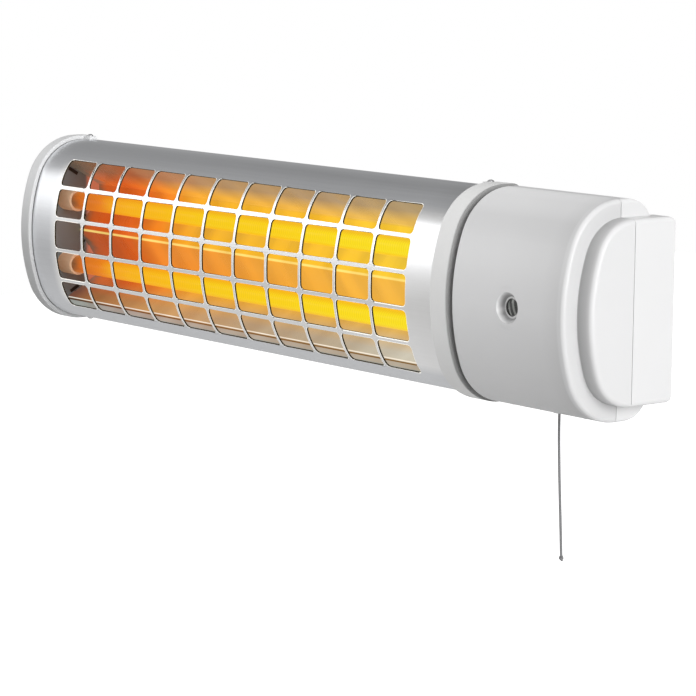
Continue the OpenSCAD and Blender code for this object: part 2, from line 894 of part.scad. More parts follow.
// Ceramic cap of a tube end: dir is 1 at the left end plate and -1 at the right one.
module tube_cap(dir, s) {
  plate = dir > 0 ? left_plate_x : right_plate_x;
  color(ceramic_c)
    translate([plate, tube_y, s * tube_z])
      rotate([0, dir * 90, 0])
        difference() {
          union() {
            cylinder(h = tube_cap_l, r = tube_cap_d / 2);
            translate([0, 0, -end_plate_t - shank_l])
              cylinder(h = end_plate_t + shank_l + 1, r = shank_d / 2);
          }
          translate([0, 0, tube_cap_l - tube_seat])
            cylinder(h = tube_seat + 1, r = tube_d / 2 + 0.1);
          translate([0, 0, -end_plate_t - shank_l - 1])
            cylinder(h = tube_cap_l + shank_l + 2, r = coil_wire_d / 2 + 0.8);
        }
}

module upper_left_tube_cap() {
  tube_cap(1, 1);
}

module upper_right_tube_cap() {
  tube_cap(-1, 1);
}

module lower_left_tube_cap() {
  tube_cap(1, -1);
}

module lower_right_tube_cap() {
  tube_cap(-1, -1);
}

module tube_terminals() {
  color(steel_c)
    for (s = [-1, 1], x = [terminal_left_x, terminal_right_x - terminal_l])
      block(
        [x, tube_y - terminal_w / 2, s * tube_z - terminal_t / 2],
        [x + terminal_l, tube_y + terminal_w / 2, s * tube_z + terminal_t / 2]
      );
}

// Strip that joins the two left terminals, with a tongue for the return lead.
module end_link() {
  color(brass_c) {
    block(
      [terminal_left_x - terminal_t, tube_y - terminal_w / 2, -tube_z - terminal_w / 2],
      [terminal_left_x, tube_y + terminal_w / 2, tube_z + terminal_w / 2]
    );
    block(
      [terminal_left_x - terminal_t, tube_y + terminal_w / 2, -terminal_w / 2],
      [terminal_left_x, lead_y + 2.5, terminal_w / 2]
    );
  }
}

module return_lead() {
  color([0.9, 0.9, 0.85])
    rod_x(terminal_left_x, lead_end_x, lead_y, 0, lead_r);
}

module tube_leads() {
  color([0.9, 0.9, 0.85])
    for (s = [-1, 1]) {
      a = [terminal_right_x, tube_y, s * tube_z];
      b = [terminal_right_x + 9.6, axis_y - 6, s * 5];
      m = b - a;
      line = [
        a, a + [2, 0, 0], a + [3.4, 0.08 * m[1], 0.08 * m[2]], a + [4.8, 0.5 * m[1], 0.5 * m[2]],
        a + [6.2, 0.92 * m[1], 0.92 * m[2]], b - [2, 0, 0], b, [lead_end_x, b[1], b[2]]
      ];
      side = cross([1, 0, 0], [0, m[1], m[2]]);
      swept(line, [for (p = line) side], lead_r, 8);
    }
}

module thermal_cutout() {
  x = right_plate_x + end_plate_t;
  color(dark_c) {
    rod_x(x, x + 7, cutout_y, 0, 8);
    rod_x(x + 7, x + 8, cutout_y, 0, 6.5);
    for (s = [-1, 1])
      block([x + 8, cutout_y - 3, s * 4 - 0.4], [x + 14, cutout_y + 3, s * 4 + 0.4]);
  }
}

module cap_screws() {
  color(steel_c)
    for (x = [cap_x1 + tab_l / 2, collar_x0 - tab_l / 2], s = [-1, 1])
      translate([x, tab_y, s * (half_h + tab_t)])
        mirror([0, 0, s > 0 ? 0 : 1]) {
          difference() {
            intersection() {
              cylinder(h = 1.4, r = cap_screw_r);
              translate([0, 0, -1.4])
                sphere(r = 2.8);
            }
            translate([-cap_screw_r, -0.3, 0.8])
              cube([2 * cap_screw_r, 0.6, 1]);
          }
          translate([0, 0, -tab_t - sheet_t - 2])
            cylinder(h = tab_t + sheet_t + 2, r = cap_screw_hole_r - 0.05);
        }
}

module friction_ring() {
  x = foot_inner_x - shell_wall;
  color([0.45, 0.3, 0.2])
    tube_x(x - ring_t, x, axis_y, 0, left_journal_r + journal_flange_h, left_journal_r + 0.3);
}

// Coned spring washer between the journal's flange and the friction ring.
module wave_washer() {
  x0 = left_flange_x;
  x1 = foot_inner_x - shell_wall - ring_t - 0.1;
  color(steel_c)
    translate([0, axis_y, 0])
      rotate([0, 90, 0])
        rotate_extrude()
          polygon([
            [left_journal_r + 0.4, x1 - 0.6], [left_journal_r + journal_flange_h, x0],
            [left_journal_r + journal_flange_h, x0 + 0.6], [left_journal_r + 0.4, x1]
          ]);
}

// Hollow front half of a foot, open at the seam.
module foot_front_shell(x0, x1) {
  difference() {
    front_body(-foot_inset, x0, x1, foot_edge_r);
    along_x(x0 + shell_wall, x1 - shell_wall)
      front_outline(-foot_inset - shell_wall);
    seam_groove(-foot_inset, x0, x1);
  }
}

// Lug on a rear shell, with the upright hole that a screw from below goes into.
module screw_lug(x, w, floor_z, y0) {
  top_z = floor_z + lug_lift + lug_h;
  difference() {
    union() {
      block([x - w / 2, y0, floor_z + lug_lift], [x + w / 2, axis_y + 5, top_z]);
      block([x - w / 2, axis_y + 0.2, floor_z - 0.6], [x + w / 2, axis_y + 5, top_z]);
    }
    rod_z(floor_z + lug_lift - 1, top_z + 1, x, lug_screw_y, screw_d / 2 + 0.05);
  }
}

// Height at which a screw from below sits in a shell moved out by o.
function screw_seat_z(o) = 0.4 - crown_z - sqrt(pow(corner_r + o, 2) - pow(lug_screw_y - axis_y, 2));

// Countersunk hole in a front shell for the screw from below.
module lug_screw_hole(x, z) {
  head = (screw_head_d - screw_d) / 2;
  rod_z(z - 3, z + 5, x, lug_screw_y, screw_d / 2 + 0.2);
  translate([x, lug_screw_y, z - 1])
    cylinder(h = head + 1, r1 = screw_head_d / 2 + 1.05, r2 = screw_d / 2 + 0.05);
}

module lug_screw(x, z) {
  head = (screw_head_d - screw_d) / 2;
  color(steel_c) {
    rod_z(z + head, z + 9, x, lug_screw_y, screw_d / 2);
    difference() {
      translate([x, lug_screw_y, z])
        cylinder(h = head, r1 = screw_head_d / 2, r2 = screw_d / 2);
      for (a = [0, 90])
        translate([x, lug_screw_y, z])
          rotate([0, 0, a])
            cube([2.6, 0.7, 1.4], center = true);
    }
  }
}

module left_foot_cover() {
  color(white_c)
    difference() {
      mirror([1, 0, 0])
        foot_front_shell(-foot_inner_x, -left_x);
      rod_x(left_x + shell_wall + 1, foot_inner_x + 1, axis_y, 0, left_journal_r + bearing_gap);
      lug_screw_hole(foot_screw_x, screw_seat_z(-foot_inset));
    }
}

// Flange of the left foot that the wall screws go through.
module wall_flange() {
  x0 = foot_inner_x - shell_wall;
  x1 = wall_pad_d / 2 + 2 - screw_x;
  rotate([90, 0, 0])
    linear_extrude(height = wall_flange_t) {
      translate([x1 - 8, 0])
        rounded_rect(16, 2 * flange_half, 4);
      translate([x0, -flange_half])
        square([x1 - 8 - x0, 2 * flange_half]);
    }
}

module left_foot() {
  color(white_c) {
    difference() {
      union() {
        mirror([1, 0, 0])
          difference() {
            rear_body(-foot_inset, -foot_inner_x, -left_x, foot_edge_r, 0, foot_back_r);
            seam_groove(-foot_inset, -foot_inner_x, -left_x);
          }
        wall_flange();
      }
      along_x(left_x + shell_wall, foot_inner_x - shell_wall)
        rear_outline(-foot_inset - shell_wall, -shell_wall, foot_back_r);
      rod_x(left_x + shell_wall + 1, foot_inner_x + 1, axis_y, 0, left_journal_r + bearing_gap);
      for (s = [-1, 1])
        rod_y(-wall_flange_t - 1, 1, -screw_x, s * screw_z, wall_hole_d / 2);
    }
    screw_lug(foot_screw_x, 5.6, -half_h + foot_inset + shell_wall, axis_y - 9);
  }
}

module foot_screw() {
  lug_screw(foot_screw_x, screw_seat_z(-foot_inset));
}

// Recess with a rounded lip that leads to the lens, along Y.
module lens_recess() {
  y0 = front_y - housing_proud;
  slope = (recess_r - lens_ring_r - 0.3) / recess_d;
  translate([lens_x, y0 - 2, 0])
    rotate([-90, 0, 0])
      cylinder(h = recess_d + 2, r1 = recess_r + 2 * slope, r2 = lens_ring_r + 0.3);
  rod_y(y0, lens_seat_y + lens_h, lens_x, 0, lens_ring_r + 0.05);
  rod_y(y0, lens_seat_y + lens_h + 10, lens_x, 0, lamp_r + 0.1);
}

// Tongue under the rear shell's top that keeps the front shell down.
module top_tongue(x) {
  top = half_h + housing_proud - shell_wall - 0.3;
  block([x - 6, axis_y - 4, top - 3], [x + 6, axis_y + 5, top]);
  block([x - 6, axis_y - 4, top - 3], [x + 6, axis_y - 0.2, top + 0.9]);
}

module front_housing() {
  floor_o = housing_proud - shell_wall;
  color(white_c) {
    difference() {
      union() {
        difference() {
          union() {
            difference() {
              front_body(housing_proud, housing_x0, housing_x1, housing_edge_r);
              seam_groove(housing_proud, housing_x0, housing_x1);
            }
            difference() {
              front_body(-foot_inset, housing_x1 - housing_edge_r, right_x, foot_edge_r);
              seam_groove(-foot_inset, housing_x1, right_x);
            }
          }
          front_body(floor_o, housing_x0 + shell_wall, housing_x1 - shell_wall, housing_in_r);
          along_x(housing_x1 - shell_wall - 1, right_x - shell_wall)
            front_outline(-foot_inset - shell_wall);
        }
        rod_y(front_y - housing_proud + 1.4, lens_seat_y + lens_h + 4, lens_x, 0, lens_boss_r);
      }
      lens_recess();
      rod_x(housing_x0 - 1, housing_x0 + shell_wall + 1, axis_y, 0, right_journal_r + bearing_gap);
      rod_z(shell_bottom_z - 1, shell_floor_z + 2, cord_x, axis_y, bush_r + 0.05);
      for (x = lug_xs)
        lug_screw_hole(x, screw_seat_z(housing_proud));
    }
    for (x = tongue_xs)
      top_tongue(x);
  }
}

module rear_housing() {
  floor_o = housing_proud - shell_wall;
  inner_y = housing_back_y - shell_wall;
  color(white_c) {
    difference() {
      union() {
        difference() {
          end_rear(housing_proud, housing_x0, housing_x1, housing_edge_r, housing_back_y, housing_back_r);
          seam_groove(housing_proud, housing_x0, housing_x1);
        }
        difference() {
          rear_body(-foot_inset, housing_x1 - housing_edge_r, right_x, foot_edge_r, 0, foot_back_r);
          seam_groove(-foot_inset, housing_x1, right_x);
        }
        for (s = [-1, 1])
          rod_y(inner_y, 0, screw_x, s * screw_z, wall_pad_d / 2);
      }
      end_rear(
        floor_o, housing_x0 + shell_wall, housing_x1 - shell_wall, housing_in_r, inner_y,
        housing_back_r - shell_wall
      );
      along_x(housing_x1 - housing_edge_r + shell_wall, right_x - shell_wall)
        rear_outline(-foot_inset - shell_wall, -shell_wall, foot_back_r);
      rod_x(housing_x0 - 1, housing_x0 + shell_wall + 1, axis_y, 0, right_journal_r + bearing_gap);
      rod_z(shell_bottom_z - 1, shell_floor_z + 2, cord_x, axis_y, bush_r + 0.05);
      for (s = [-1, 1])
        rod_y(inner_y - 1, 1, screw_x, s * screw_z, wall_hole_d / 2);
      rod_y(inner_y - 1, housing_back_y + 1, entry_x, entry_z, cable_bore_d / 2 + grommet_wall);
    }
    for (x = lug_xs)
      screw_lug(x, 12, shell_floor_z, axis_y - 11);
    for (s = [-1, 1])
      rod_y(case_back_y, inner_y + 0.4, spool_x + s * 6, spool_z, 3);
    for (s = [-1, 1])
      difference() {
        rod_y(inner_y - clamp_post_h, inner_y + 0.4, clamp_x + s * clamp_half, clamp_z, 3);
        rod_y(inner_y - clamp_post_h - 1, inner_y - 0.6, clamp_x + s * clamp_half, clamp_z, screw_d / 2 + 0.05);
      }
  }
}

module housing_screws() {
  for (x = lug_xs)
    lug_screw(x, screw_seat_z(housing_proud));
}

module lens_ring() {
  color("silver")
    difference() {
      rod_y(lens_seat_y - 0.5, lens_seat_y + lens_h, lens_x, 0, lens_ring_r);
      rod_y(lens_seat_y - 1, lens_seat_y + lens_h + 1, lens_x, 0, lens_ring_r - lens_ring_w);
    }
}

module lens() {
  r = lens_ring_r - lens_ring_w;
  dome = 14;
  color([0.8, 0.85, 0.85, 0.6])
    intersection() {
      rod_y(lens_seat_y - 0.6, lens_seat_y + lens_h, lens_x, 0, r - 0.05);
      translate([lens_x, lens_seat_y - 0.4 + dome, 0])
        sphere(r = dome, $fn = 128);
    }
}

module indicator_lamp() {
  tip = lens_seat_y + lens_h + 0.2;
  color([1, 0.6, 0.3]) {
    rod_y(tip + lamp_r, tip + lamp_l, lens_x, 0, lamp_r);
    translate([lens_x, tip + lamp_r, 0])
      sphere(r = lamp_r, $fn = 48);
  }
}

module switch_case() {
  color(dark_c)
    difference() {
      block(
        [spool_x - case_half, case_front_y, spool_z - case_half],
        [spool_x + case_half, case_back_y, spool_z + case_half]
      );
      block(
        [spool_x - case_half + switch_wall, case_front_y - 1, spool_z - case_half + switch_wall],
        [spool_x + case_half - switch_wall, case_back_y - switch_wall, spool_z + case_half - switch_wall]
      );
      rod_z(spool_z - case_half - 1, spool_z - case_half + switch_wall + 1, cord_x, axis_y, cord_r + 0.6);
      rod_y(case_back_y - switch_wall - 1, case_back_y + 1, spool_x, spool_z, axle_r);
    }
}

module switch_cover() {
  color(dark_c)
    difference() {
      block(
        [spool_x - case_half, case_front_y - switch_wall, spool_z - case_half],
        [spool_x + case_half, case_front_y, spool_z + case_half]
      );
      rod_y(case_front_y - switch_wall - 1, case_front_y + 1, spool_x, spool_z, axle_r);
    }
}

module switch_axle() {
  color(steel_c)
    rod_y(case_front_y - switch_wall, case_back_y, spool_x, spool_z, axle_r - 0.01);
}

module switch_contacts() {
  z = spool_z + case_half;
  color(brass_c)
    for (k = [-1.5, -0.5, 0.5, 1.5])
      block([spool_x + k * 4.5 - 0.4, axis_y + 1, z], [spool_x + k * 4.5 + 0.4, axis_y + 5.8, z + 8]);
}

module cord_spool() {
  root = spool_wind_r - cord_r - 0.3;
  groove = cord_r + 0.3;
  h = spool_w / 2;
  color([0.85, 0.85, 0.8])
    translate([spool_x, axis_y, spool_z])
      rotate([-90, 0, 0])
        rotate_extrude()
          polygon([
            [axle_r + bearing_gap, -h - 3], [axle_r + 1.2, -h - 3], [axle_r + 1.2, -h], [spool_r, -h],
            [spool_r, -groove - 0.6], [root, -groove], [root, groove], [spool_r, groove + 0.6],
            [spool_r, h], [axle_r + bearing_gap, h]
          ]);
}

// Flat spiral spring in front of the spool.
spiral_t = 0.3;
spiral_steps = 12;
spiral_n = 4 * spiral_steps;

function spiral_point(i, t) =
  let(r = axle_r + 1.3 + t + (spool_r - axle_r - 1.9) * i / spiral_n, a = 360 * i / spiral_steps)
  r * [cos(a), sin(a)];

module spool_spring() {
  middle = [for (i = [0:spiral_n]) spiral_point(i, spiral_t / 2)];
  echo(spring_least_self_gap = self_gap(middle, spiral_steps, spiral_t));
  color(steel_c)
    translate([spool_x, axis_y - spool_w / 2 - 0.2, spool_z])
      rotate([90, 0, 0])
        linear_extrude(height = 2.4)
          polygon(concat(
            [for (i = [0:spiral_n]) spiral_point(i, 0)],
            [for (i = [spiral_n:-1:0]) spiral_point(i, spiral_t)]
          ));
}

module ratchet_rotor() {
  y0 = axis_y + spool_w / 2 + 0.4;
  step = 360 / rotor_teeth;
  color([0.8, 0.75, 0.65])
    difference() {
      union() {
        translate([spool_x, y0 + rotor_w / 2, spool_z])
          rotate([90, 0, 0])
            linear_extrude(height = rotor_w / 2)
              polygon([
                for (i = [0:rotor_teeth - 1], q = [[0, spool_r - 0.4], [0.12, spool_r - 2.2]])
                  q[1] * [cos((i + q[0]) * step), sin((i + q[0]) * step)]
              ]);
        rod_y(y0 + rotor_w / 2, y0 + rotor_w, spool_x, spool_z, spool_r - 2.6);
      }
      rod_y(y0 - 1, y0 + rotor_w + 1, spool_x, spool_z, axle_r + bearing_gap);
    }
}

module cord_bush() {
  z = shell_floor_z + bush_lift;
  color(white_c)
    difference() {
      union() {
        rod_z(cord_exit_z, z + bush_flange_t, cord_x, axis_y, bush_r);
        rod_z(z, z + bush_flange_t, cord_x, axis_y, bush_flange_r);
      }
      rod_z(cord_exit_z - 1, z + bush_flange_t + 1, cord_x, axis_y, cord_r + 0.4);
    }
}

// Stretch of the cord inside the housing.
module cord_lead() {
  color([0.8, 0.8, 0.8])
    rod_z(cord_exit_z, spool_z - 1, cord_x, axis_y, cord_r);
}

module pull_cord() {
  line = [for (p = cord_route) [cord_x + p[0], axis_y, cord_exit_z + p[1]]];
  color([0.8, 0.8, 0.8])
    swept(line, [for (p = line) [0, 1, 0]], cord_r, cord_sides);
}

module cord_knot() {
  end = cord_route[len(cord_route) - 1];
  color([0.75, 0.75, 0.75])
    translate([cord_x + end[0], axis_y, cord_exit_z + end[1] - knot_r + 0.4])
      sphere(r = knot_r, $fn = 48);
}

module terminal_block() {
  y = housing_back_y - shell_wall;
  color([0.95, 0.95, 0.9])
    difference() {
      block(
        [block_x - block_l / 2, y - block_d, block_z - block_h / 2],
        [block_x + block_l / 2, y, block_z + block_h / 2]
      );
      for (k = [-1, 0, 1], s = [-1, 1])
        rod_y(y - block_d - 1, y - block_d + 5, block_x + k * block_l / 3, block_z + s * 3.8, 2.1);
      for (k = [-1, 0, 1])
        rod_z(block_z - block_h, block_z + block_h, block_x + k * block_l / 3, y - block_d + 7.6, 1.9);
      for (k = [-1, 1])
        block(
          [block_x + k * block_l / 6 - 0.8, y - block_d - 1, block_z - block_h],
          [block_x + k * block_l / 6 + 0.8, y - block_d + 3, block_z + block_h]
        );
    }
}

module terminal_screws() {
  y = housing_back_y - shell_wall - block_d;
  color(steel_c)
    for (k = [-1, 0, 1], s = [-1, 1])
      difference() {
        rod_y(y + 1, y + 5, block_x + k * block_l / 3, block_z + s * 3.8, 2.05);
        translate([block_x + k * block_l / 3, y + 1, block_z + s * 3.8])
          cube([3, 1.2, 0.6], center = true);
      }
}

module cable_clamp() {
  y = housing_back_y - shell_wall - clamp_post_h;
  color(white_c)
    difference() {
      block([clamp_x - clamp_half - 4, y - 3, clamp_z - 4], [clamp_x + clamp_half + 4, y, clamp_z + 4]);
      rod_z(clamp_z - 5, clamp_z + 5, clamp_x, y + 2.4, 3.6);
      for (s = [-1, 1])
        rod_y(y - 4, y + 1, clamp_x + s * clamp_half, clamp_z, screw_d / 2 + 0.2);
    }
}

module clamp_screws() {
  y = housing_back_y - shell_wall - clamp_post_h;
  color(steel_c)
    for (s = [-1, 1]) {
      rod_y(y - 3, y + 5, clamp_x + s * clamp_half, clamp_z, screw_d / 2);
      difference() {
        rod_y(y - 5, y - 3, clamp_x + s * clamp_half, clamp_z, screw_head_d / 2);
        translate([clamp_x + s * clamp_half, y - 5, clamp_z])
          cube([screw_head_d, 1.6, 0.7], center = true);
      }
    }
}

module cable_grommet() {
  y1 = housing_back_y;
  y0 = y1 - shell_wall;
  r = cable_bore_d / 2;
  color(dark_c)
    difference() {
      union() {
        rod_y(y0, y1, entry_x, entry_z, r + grommet_wall - 0.02);
        rod_y(y1, y1 + 1.6, entry_x, entry_z, r + grommet_wall + 1.8);
        rod_y(y0 - 1.6, y0, entry_x, entry_z, r + grommet_wall + 1.8);
      }
      rod_y(y0 - 3, y1 + 3, entry_x, entry_z, r);
    }
}

grille_shell();
left_cap();
right_collar();
back_plate();
back_rivets();
reflector();
left_end_plate();
right_end_plate();
upper_tube();
lower_tube();
upper_coil();
lower_coil();
upper_left_tube_cap();
upper_right_tube_cap();
lower_left_tube_cap();
lower_right_tube_cap();
tube_terminals();
end_link();
return_lead();
tube_leads();
thermal_cutout();
cap_screws();
friction_ring();
wave_washer();
left_foot();
left_foot_cover();
foot_screw();
front_housing();
rear_housing();
housing_screws();
lens();
lens_ring();
indicator_lamp();
switch_case();
switch_cover();
switch_axle();
switch_contacts();
cord_spool();
spool_spring();
ratchet_rotor();
cord_bush();
cord_lead();
pull_cord();
cord_knot();
terminal_block();
terminal_screws();
cable_clamp();
clamp_screws();
cable_grommet();
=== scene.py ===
import math

import bpy
from mathutils import Matrix, Vector


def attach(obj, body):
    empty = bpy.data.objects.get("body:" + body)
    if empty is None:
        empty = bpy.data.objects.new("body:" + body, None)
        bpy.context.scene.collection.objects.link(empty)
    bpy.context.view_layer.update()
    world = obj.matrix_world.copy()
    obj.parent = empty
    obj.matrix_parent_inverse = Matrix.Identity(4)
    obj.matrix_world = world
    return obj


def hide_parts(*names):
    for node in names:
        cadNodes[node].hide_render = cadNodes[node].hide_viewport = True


# Quartz wall heater with a pull cord: looks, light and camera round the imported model.

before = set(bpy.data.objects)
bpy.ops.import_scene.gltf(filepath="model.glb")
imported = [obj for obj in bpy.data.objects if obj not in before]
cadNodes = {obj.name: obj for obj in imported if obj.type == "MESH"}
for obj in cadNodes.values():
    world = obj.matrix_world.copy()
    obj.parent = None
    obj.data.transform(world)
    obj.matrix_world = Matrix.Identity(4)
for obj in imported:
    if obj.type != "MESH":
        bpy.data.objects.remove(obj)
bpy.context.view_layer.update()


# Camera, at the photo's angle.

cameraSizes = {
    "place": (1.475957, -1.177456, 0.215966),
    "forward": (-0.774343, 0.616440, -0.142807),
    "up": (-0.118582, 0.080319, 0.989690),
    "focalPixels": 2976.6,  # focal length in pixels of a frame 696 wide
    "frameWidth": 696,
    "sensor": 36.0,  # mm
    "farthest": 50.0,
}


def makeCamera(sizes):
    data = bpy.data.cameras.new("camera")
    data.sensor_width = sizes["sensor"]
    data.lens = sizes["focalPixels"] / sizes["frameWidth"] * data.sensor_width
    data.clip_end = sizes["farthest"]
    camera = bpy.data.objects.new("camera", data)
    bpy.context.scene.collection.objects.link(camera)
    forward = Vector(sizes["forward"]).normalized()
    right = forward.cross(Vector(sizes["up"])).normalized()
    up = right.cross(forward)
    turn = Matrix((right, up, -forward)).transposed().to_4x4()
    camera.matrix_world = Matrix.Translation(Vector(sizes["place"])) @ turn
    bpy.context.scene.camera = camera


makeCamera(cameraSizes)
print("camera ready")


# Material helpers. Each one works on the node tree of the material that is being made.

noiseSpan = (0.3, 0.7)  # most of what a noise texture gives lies between these
shadeFade = 0.003  # metres that a shading takes to end
finishSizes = {
    # moulded plastic: scales of its mottle and grain, tint of the mottle, roughness below and above, depth in metres
    "mottle": (9.0, 2.0), "grain": (2600.0, 2.0), "mottleTint": 0.965, "mottleRoughness": (-0.04, 0.05),
    "grainBump": 0.06, "grainDepth": 0.0001,
    # brushed metal: its broad marks, what the lines and they add to the roughness, and what is taken off
    "marks": (14.0, 2.0), "lines": (1.0, 4.0, 0.65), "lineRoughness": 0.12, "markRoughness": 0.06,
    "lessRoughness": 0.09, "lineDepth": 0.00005,
}


def newMaterial(name, color, roughness, metallic=0.0, specular=0.5):
    material = bpy.data.materials.new(name)
    material.use_nodes = True
    shader = material.node_tree.nodes["Principled BSDF"]
    shader.inputs["Base Color"].default_value = (*color, 1.0)
    shader.inputs["Roughness"].default_value = roughness
    shader.inputs["Metallic"].default_value = metallic
    shader.inputs["Specular IOR Level"].default_value = specular
    return material


def addNode(material, kind, **settings):
    node = material.node_tree.nodes.new(kind)
    for key, value in settings.items():
        setattr(node, key, value)
    return node


def link(material, source, target):
    material.node_tree.links.new(source, target)


def shaderOf(material):
    return material.node_tree.nodes["Principled BSDF"]


def objectPlace(material, scale=(1.0, 1.0, 1.0)):
    coordinates = addNode(material, "ShaderNodeTexCoord")
    mapping = addNode(material, "ShaderNodeMapping")
    mapping.inputs["Scale"].default_value = scale
    link(material, coordinates.outputs["Object"], mapping.inputs["Vector"])
    return mapping.outputs["Vector"]


def splitPlace(material):
    split = addNode(material, "ShaderNodeSeparateXYZ")
    link(material, objectPlace(material), split.inputs["Vector"])
    return split


def noise(material, vector, scale, detail=3.0, roughness=0.55):
    texture = addNode(material, "ShaderNodeTexNoise")
    texture.inputs["Scale"].default_value = scale
    texture.inputs["Detail"].default_value = detail
    texture.inputs["Roughness"].default_value = roughness
    link(material, vector, texture.inputs["Vector"])
    return texture.outputs["Fac"]


def ramp(material, value, stops):
    node = addNode(material, "ShaderNodeValToRGB")
    elements = node.color_ramp.elements
    while len(elements) < len(stops):
        elements.new(0.5)
    for element, (place, color) in zip(elements, stops):
        element.position = place
        element.color = (*color, 1.0)
    link(material, value, node.inputs["Fac"])
    return node.outputs["Color"]


def ranged(material, value, low, high, newLow, newHigh):
    node = addNode(material, "ShaderNodeMapRange")
    node.inputs["From Min"].default_value = low
    node.inputs["From Max"].default_value = high
    node.inputs["To Min"].default_value = newLow
    node.inputs["To Max"].default_value = newHigh
    link(material, value, node.inputs["Value"])
    return node.outputs["Result"]


def mixed(material, factor, first, second, blend="MIX"):
    node = addNode(material, "ShaderNodeMix", data_type="RGBA", blend_type=blend)
    for socket, value in ((node.inputs[0], factor), (node.inputs[6], first), (node.inputs[7], second)):
        if isinstance(value, bpy.types.NodeSocket):
            link(material, value, socket)
        elif isinstance(value, float):
            socket.default_value = value
        else:
            socket.default_value = (*value, 1.0)
    return node.outputs[2]


def mathNode(material, operation, first, second=0.0):
    node = addNode(material, "ShaderNodeMath", operation=operation)
    for socket, value in zip(node.inputs, (first, second)):
        if isinstance(value, bpy.types.NodeSocket):
            link(material, value, socket)
        else:
            socket.default_value = value
    return node.outputs["Value"]


def addBump(material, height, strength, distance):
    bump = addNode(material, "ShaderNodeBump")
    bump.inputs["Strength"].default_value = strength
    bump.inputs["Distance"].default_value = distance
    link(material, height, bump.inputs["Height"])
    link(material, bump.outputs["Normal"], shaderOf(material).inputs["Normal"])


def moulded(name, color, roughness, grain=1.0):
    material = newMaterial(name, color, roughness)
    place = objectPlace(material)
    mottle = noise(material, place, *finishSizes["mottle"])
    fine = noise(material, place, *finishSizes["grain"])
    darker = tuple(c * finishSizes["mottleTint"] for c in color)
    link(material, mixed(material, mottle, darker, color), shaderOf(material).inputs["Base Color"])
    below, above = finishSizes["mottleRoughness"]
    link(material, ranged(material, mottle, *noiseSpan, roughness + below, roughness + above),
         shaderOf(material).inputs["Roughness"])
    addBump(material, fine, finishSizes["grainBump"] * grain, finishSizes["grainDepth"])
    return material


def shadeBy(material, axis, stops, keepFrom=None):
    # Paints light and shade: scales the colour by shares at places along an axis, in metres. Past the X of keepFrom
    # the colour stays.
    socket = shaderOf(material).inputs["Base Color"]
    before = socket.links[0].from_socket
    split = splitPlace(material)
    low, high = stops[0][0], stops[-1][0]
    place = ranged(material, split.outputs[axis], low, high, 0.0, 1.0)
    shares = ramp(material, place, [((at - low) / (high - low), (share,) * 3) for at, share in stops])
    amount = 1.0
    if keepFrom is not None:
        amount = ranged(material, split.outputs["X"], keepFrom, keepFrom + shadeFade, 1.0, 0.0)
    link(material, mixed(material, amount, before, shares, "MULTIPLY"), socket)


def shadeDown(material, stops, keepFrom=None):
    shadeBy(material, "Z", stops, keepFrom)


def shadeAlong(material, stops):
    shadeBy(material, "X", stops)


def brushed(name, color, roughness, stretch, bump=0.16, tint=0.9):
    material = newMaterial(name, color, roughness, metallic=1.0)
    lines = noise(material, objectPlace(material, scale=stretch), *finishSizes["lines"])
    marks = noise(material, objectPlace(material), *finishSizes["marks"])
    darker = tuple(c * tint for c in color)
    link(material, mixed(material, lines, darker, color), shaderOf(material).inputs["Base Color"])
    spread = mathNode(material, "ADD", mathNode(material, "MULTIPLY", lines, finishSizes["lineRoughness"]),
                      mathNode(material, "MULTIPLY", marks, finishSizes["markRoughness"]))
    link(material, mathNode(material, "ADD", spread, roughness - finishSizes["lessRoughness"]),
         shaderOf(material).inputs["Roughness"])
    addBump(material, lines, bump, finishSizes["lineDepth"])
    return material


def addGlow(material, color, strength):
    shaderOf(material).inputs["Emission Color"].default_value = (*color, 1.0)
    shaderOf(material).inputs["Emission Strength"].default_value = strength
    return material


def deselectAll():
    if bpy.context.object and bpy.context.object.mode != "OBJECT":
        bpy.ops.object.mode_set(mode="OBJECT")
    bpy.ops.object.select_all(action="DESELECT")


def dress(material, *names):
    for name in names:
        slots = cadNodes[name].data.materials
        slots.clear()
        slots.append(material)


# The tubes' glow, and the tubes' light painted on the reflector as a glow, turn from dull red at the drum's left end
# to yellow. Their colours are set at places along X, in metres.
glowAndPaintedLightSizes = {
    "left": -0.252, "right": 0.152, "waver": 0.008, "waverSpan": (0.2, 0.8), "waverScale": (30.0, 90.0, 90.0),
}


def glowAndPaintedLightRamp(material, split, stops):
    span = glowAndPaintedLightSizes["right"] - glowAndPaintedLightSizes["left"]
    waver = noise(material, objectPlace(material, scale=glowAndPaintedLightSizes["waverScale"]), 1.0, 2.0)
    moved = mathNode(material, "ADD", split.outputs["X"],
                     ranged(material, waver, *glowAndPaintedLightSizes["waverSpan"], -glowAndPaintedLightSizes["waver"], glowAndPaintedLightSizes["waver"]))
    along = ranged(material, moved, glowAndPaintedLightSizes["left"], glowAndPaintedLightSizes["right"], 0.0, 1.0)
    return ramp(material, along, [((x - glowAndPaintedLightSizes["left"]) / span, color) for x, color in stops])


# Grille, caps and shells.

# The tubes' warm light on the bars between the windows, by place in metres.
barSizes = {
    "left": -0.245, "halfHeight": 0.044, "back": -0.054, "fade": 0.006, "backFade": 0.002,
    "warmth": (1.0, 0.94, 0.83), "strength": 0.13,
}


def warmBars(material, sizes):
    split = splitPlace(material)
    along = ranged(material, split.outputs["X"], sizes["left"], sizes["left"] + sizes["fade"], 0.0, 1.0)
    high = mathNode(material, "ABSOLUTE", split.outputs["Z"])
    across = ranged(material, high, sizes["halfHeight"], sizes["halfHeight"] + sizes["fade"], 1.0, 0.0)
    front = ranged(material, split.outputs["Y"], sizes["back"] - sizes["backFade"], sizes["back"], 1.0, 0.0)
    amount = mathNode(material, "MULTIPLY", mathNode(material, "MULTIPLY", along, across), front)
    shaderOf(material).inputs["Emission Color"].default_value = (*sizes["warmth"], 1.0)
    link(material, mathNode(material, "MULTIPLY", amount, sizes["strength"]),
         shaderOf(material).inputs["Emission Strength"])
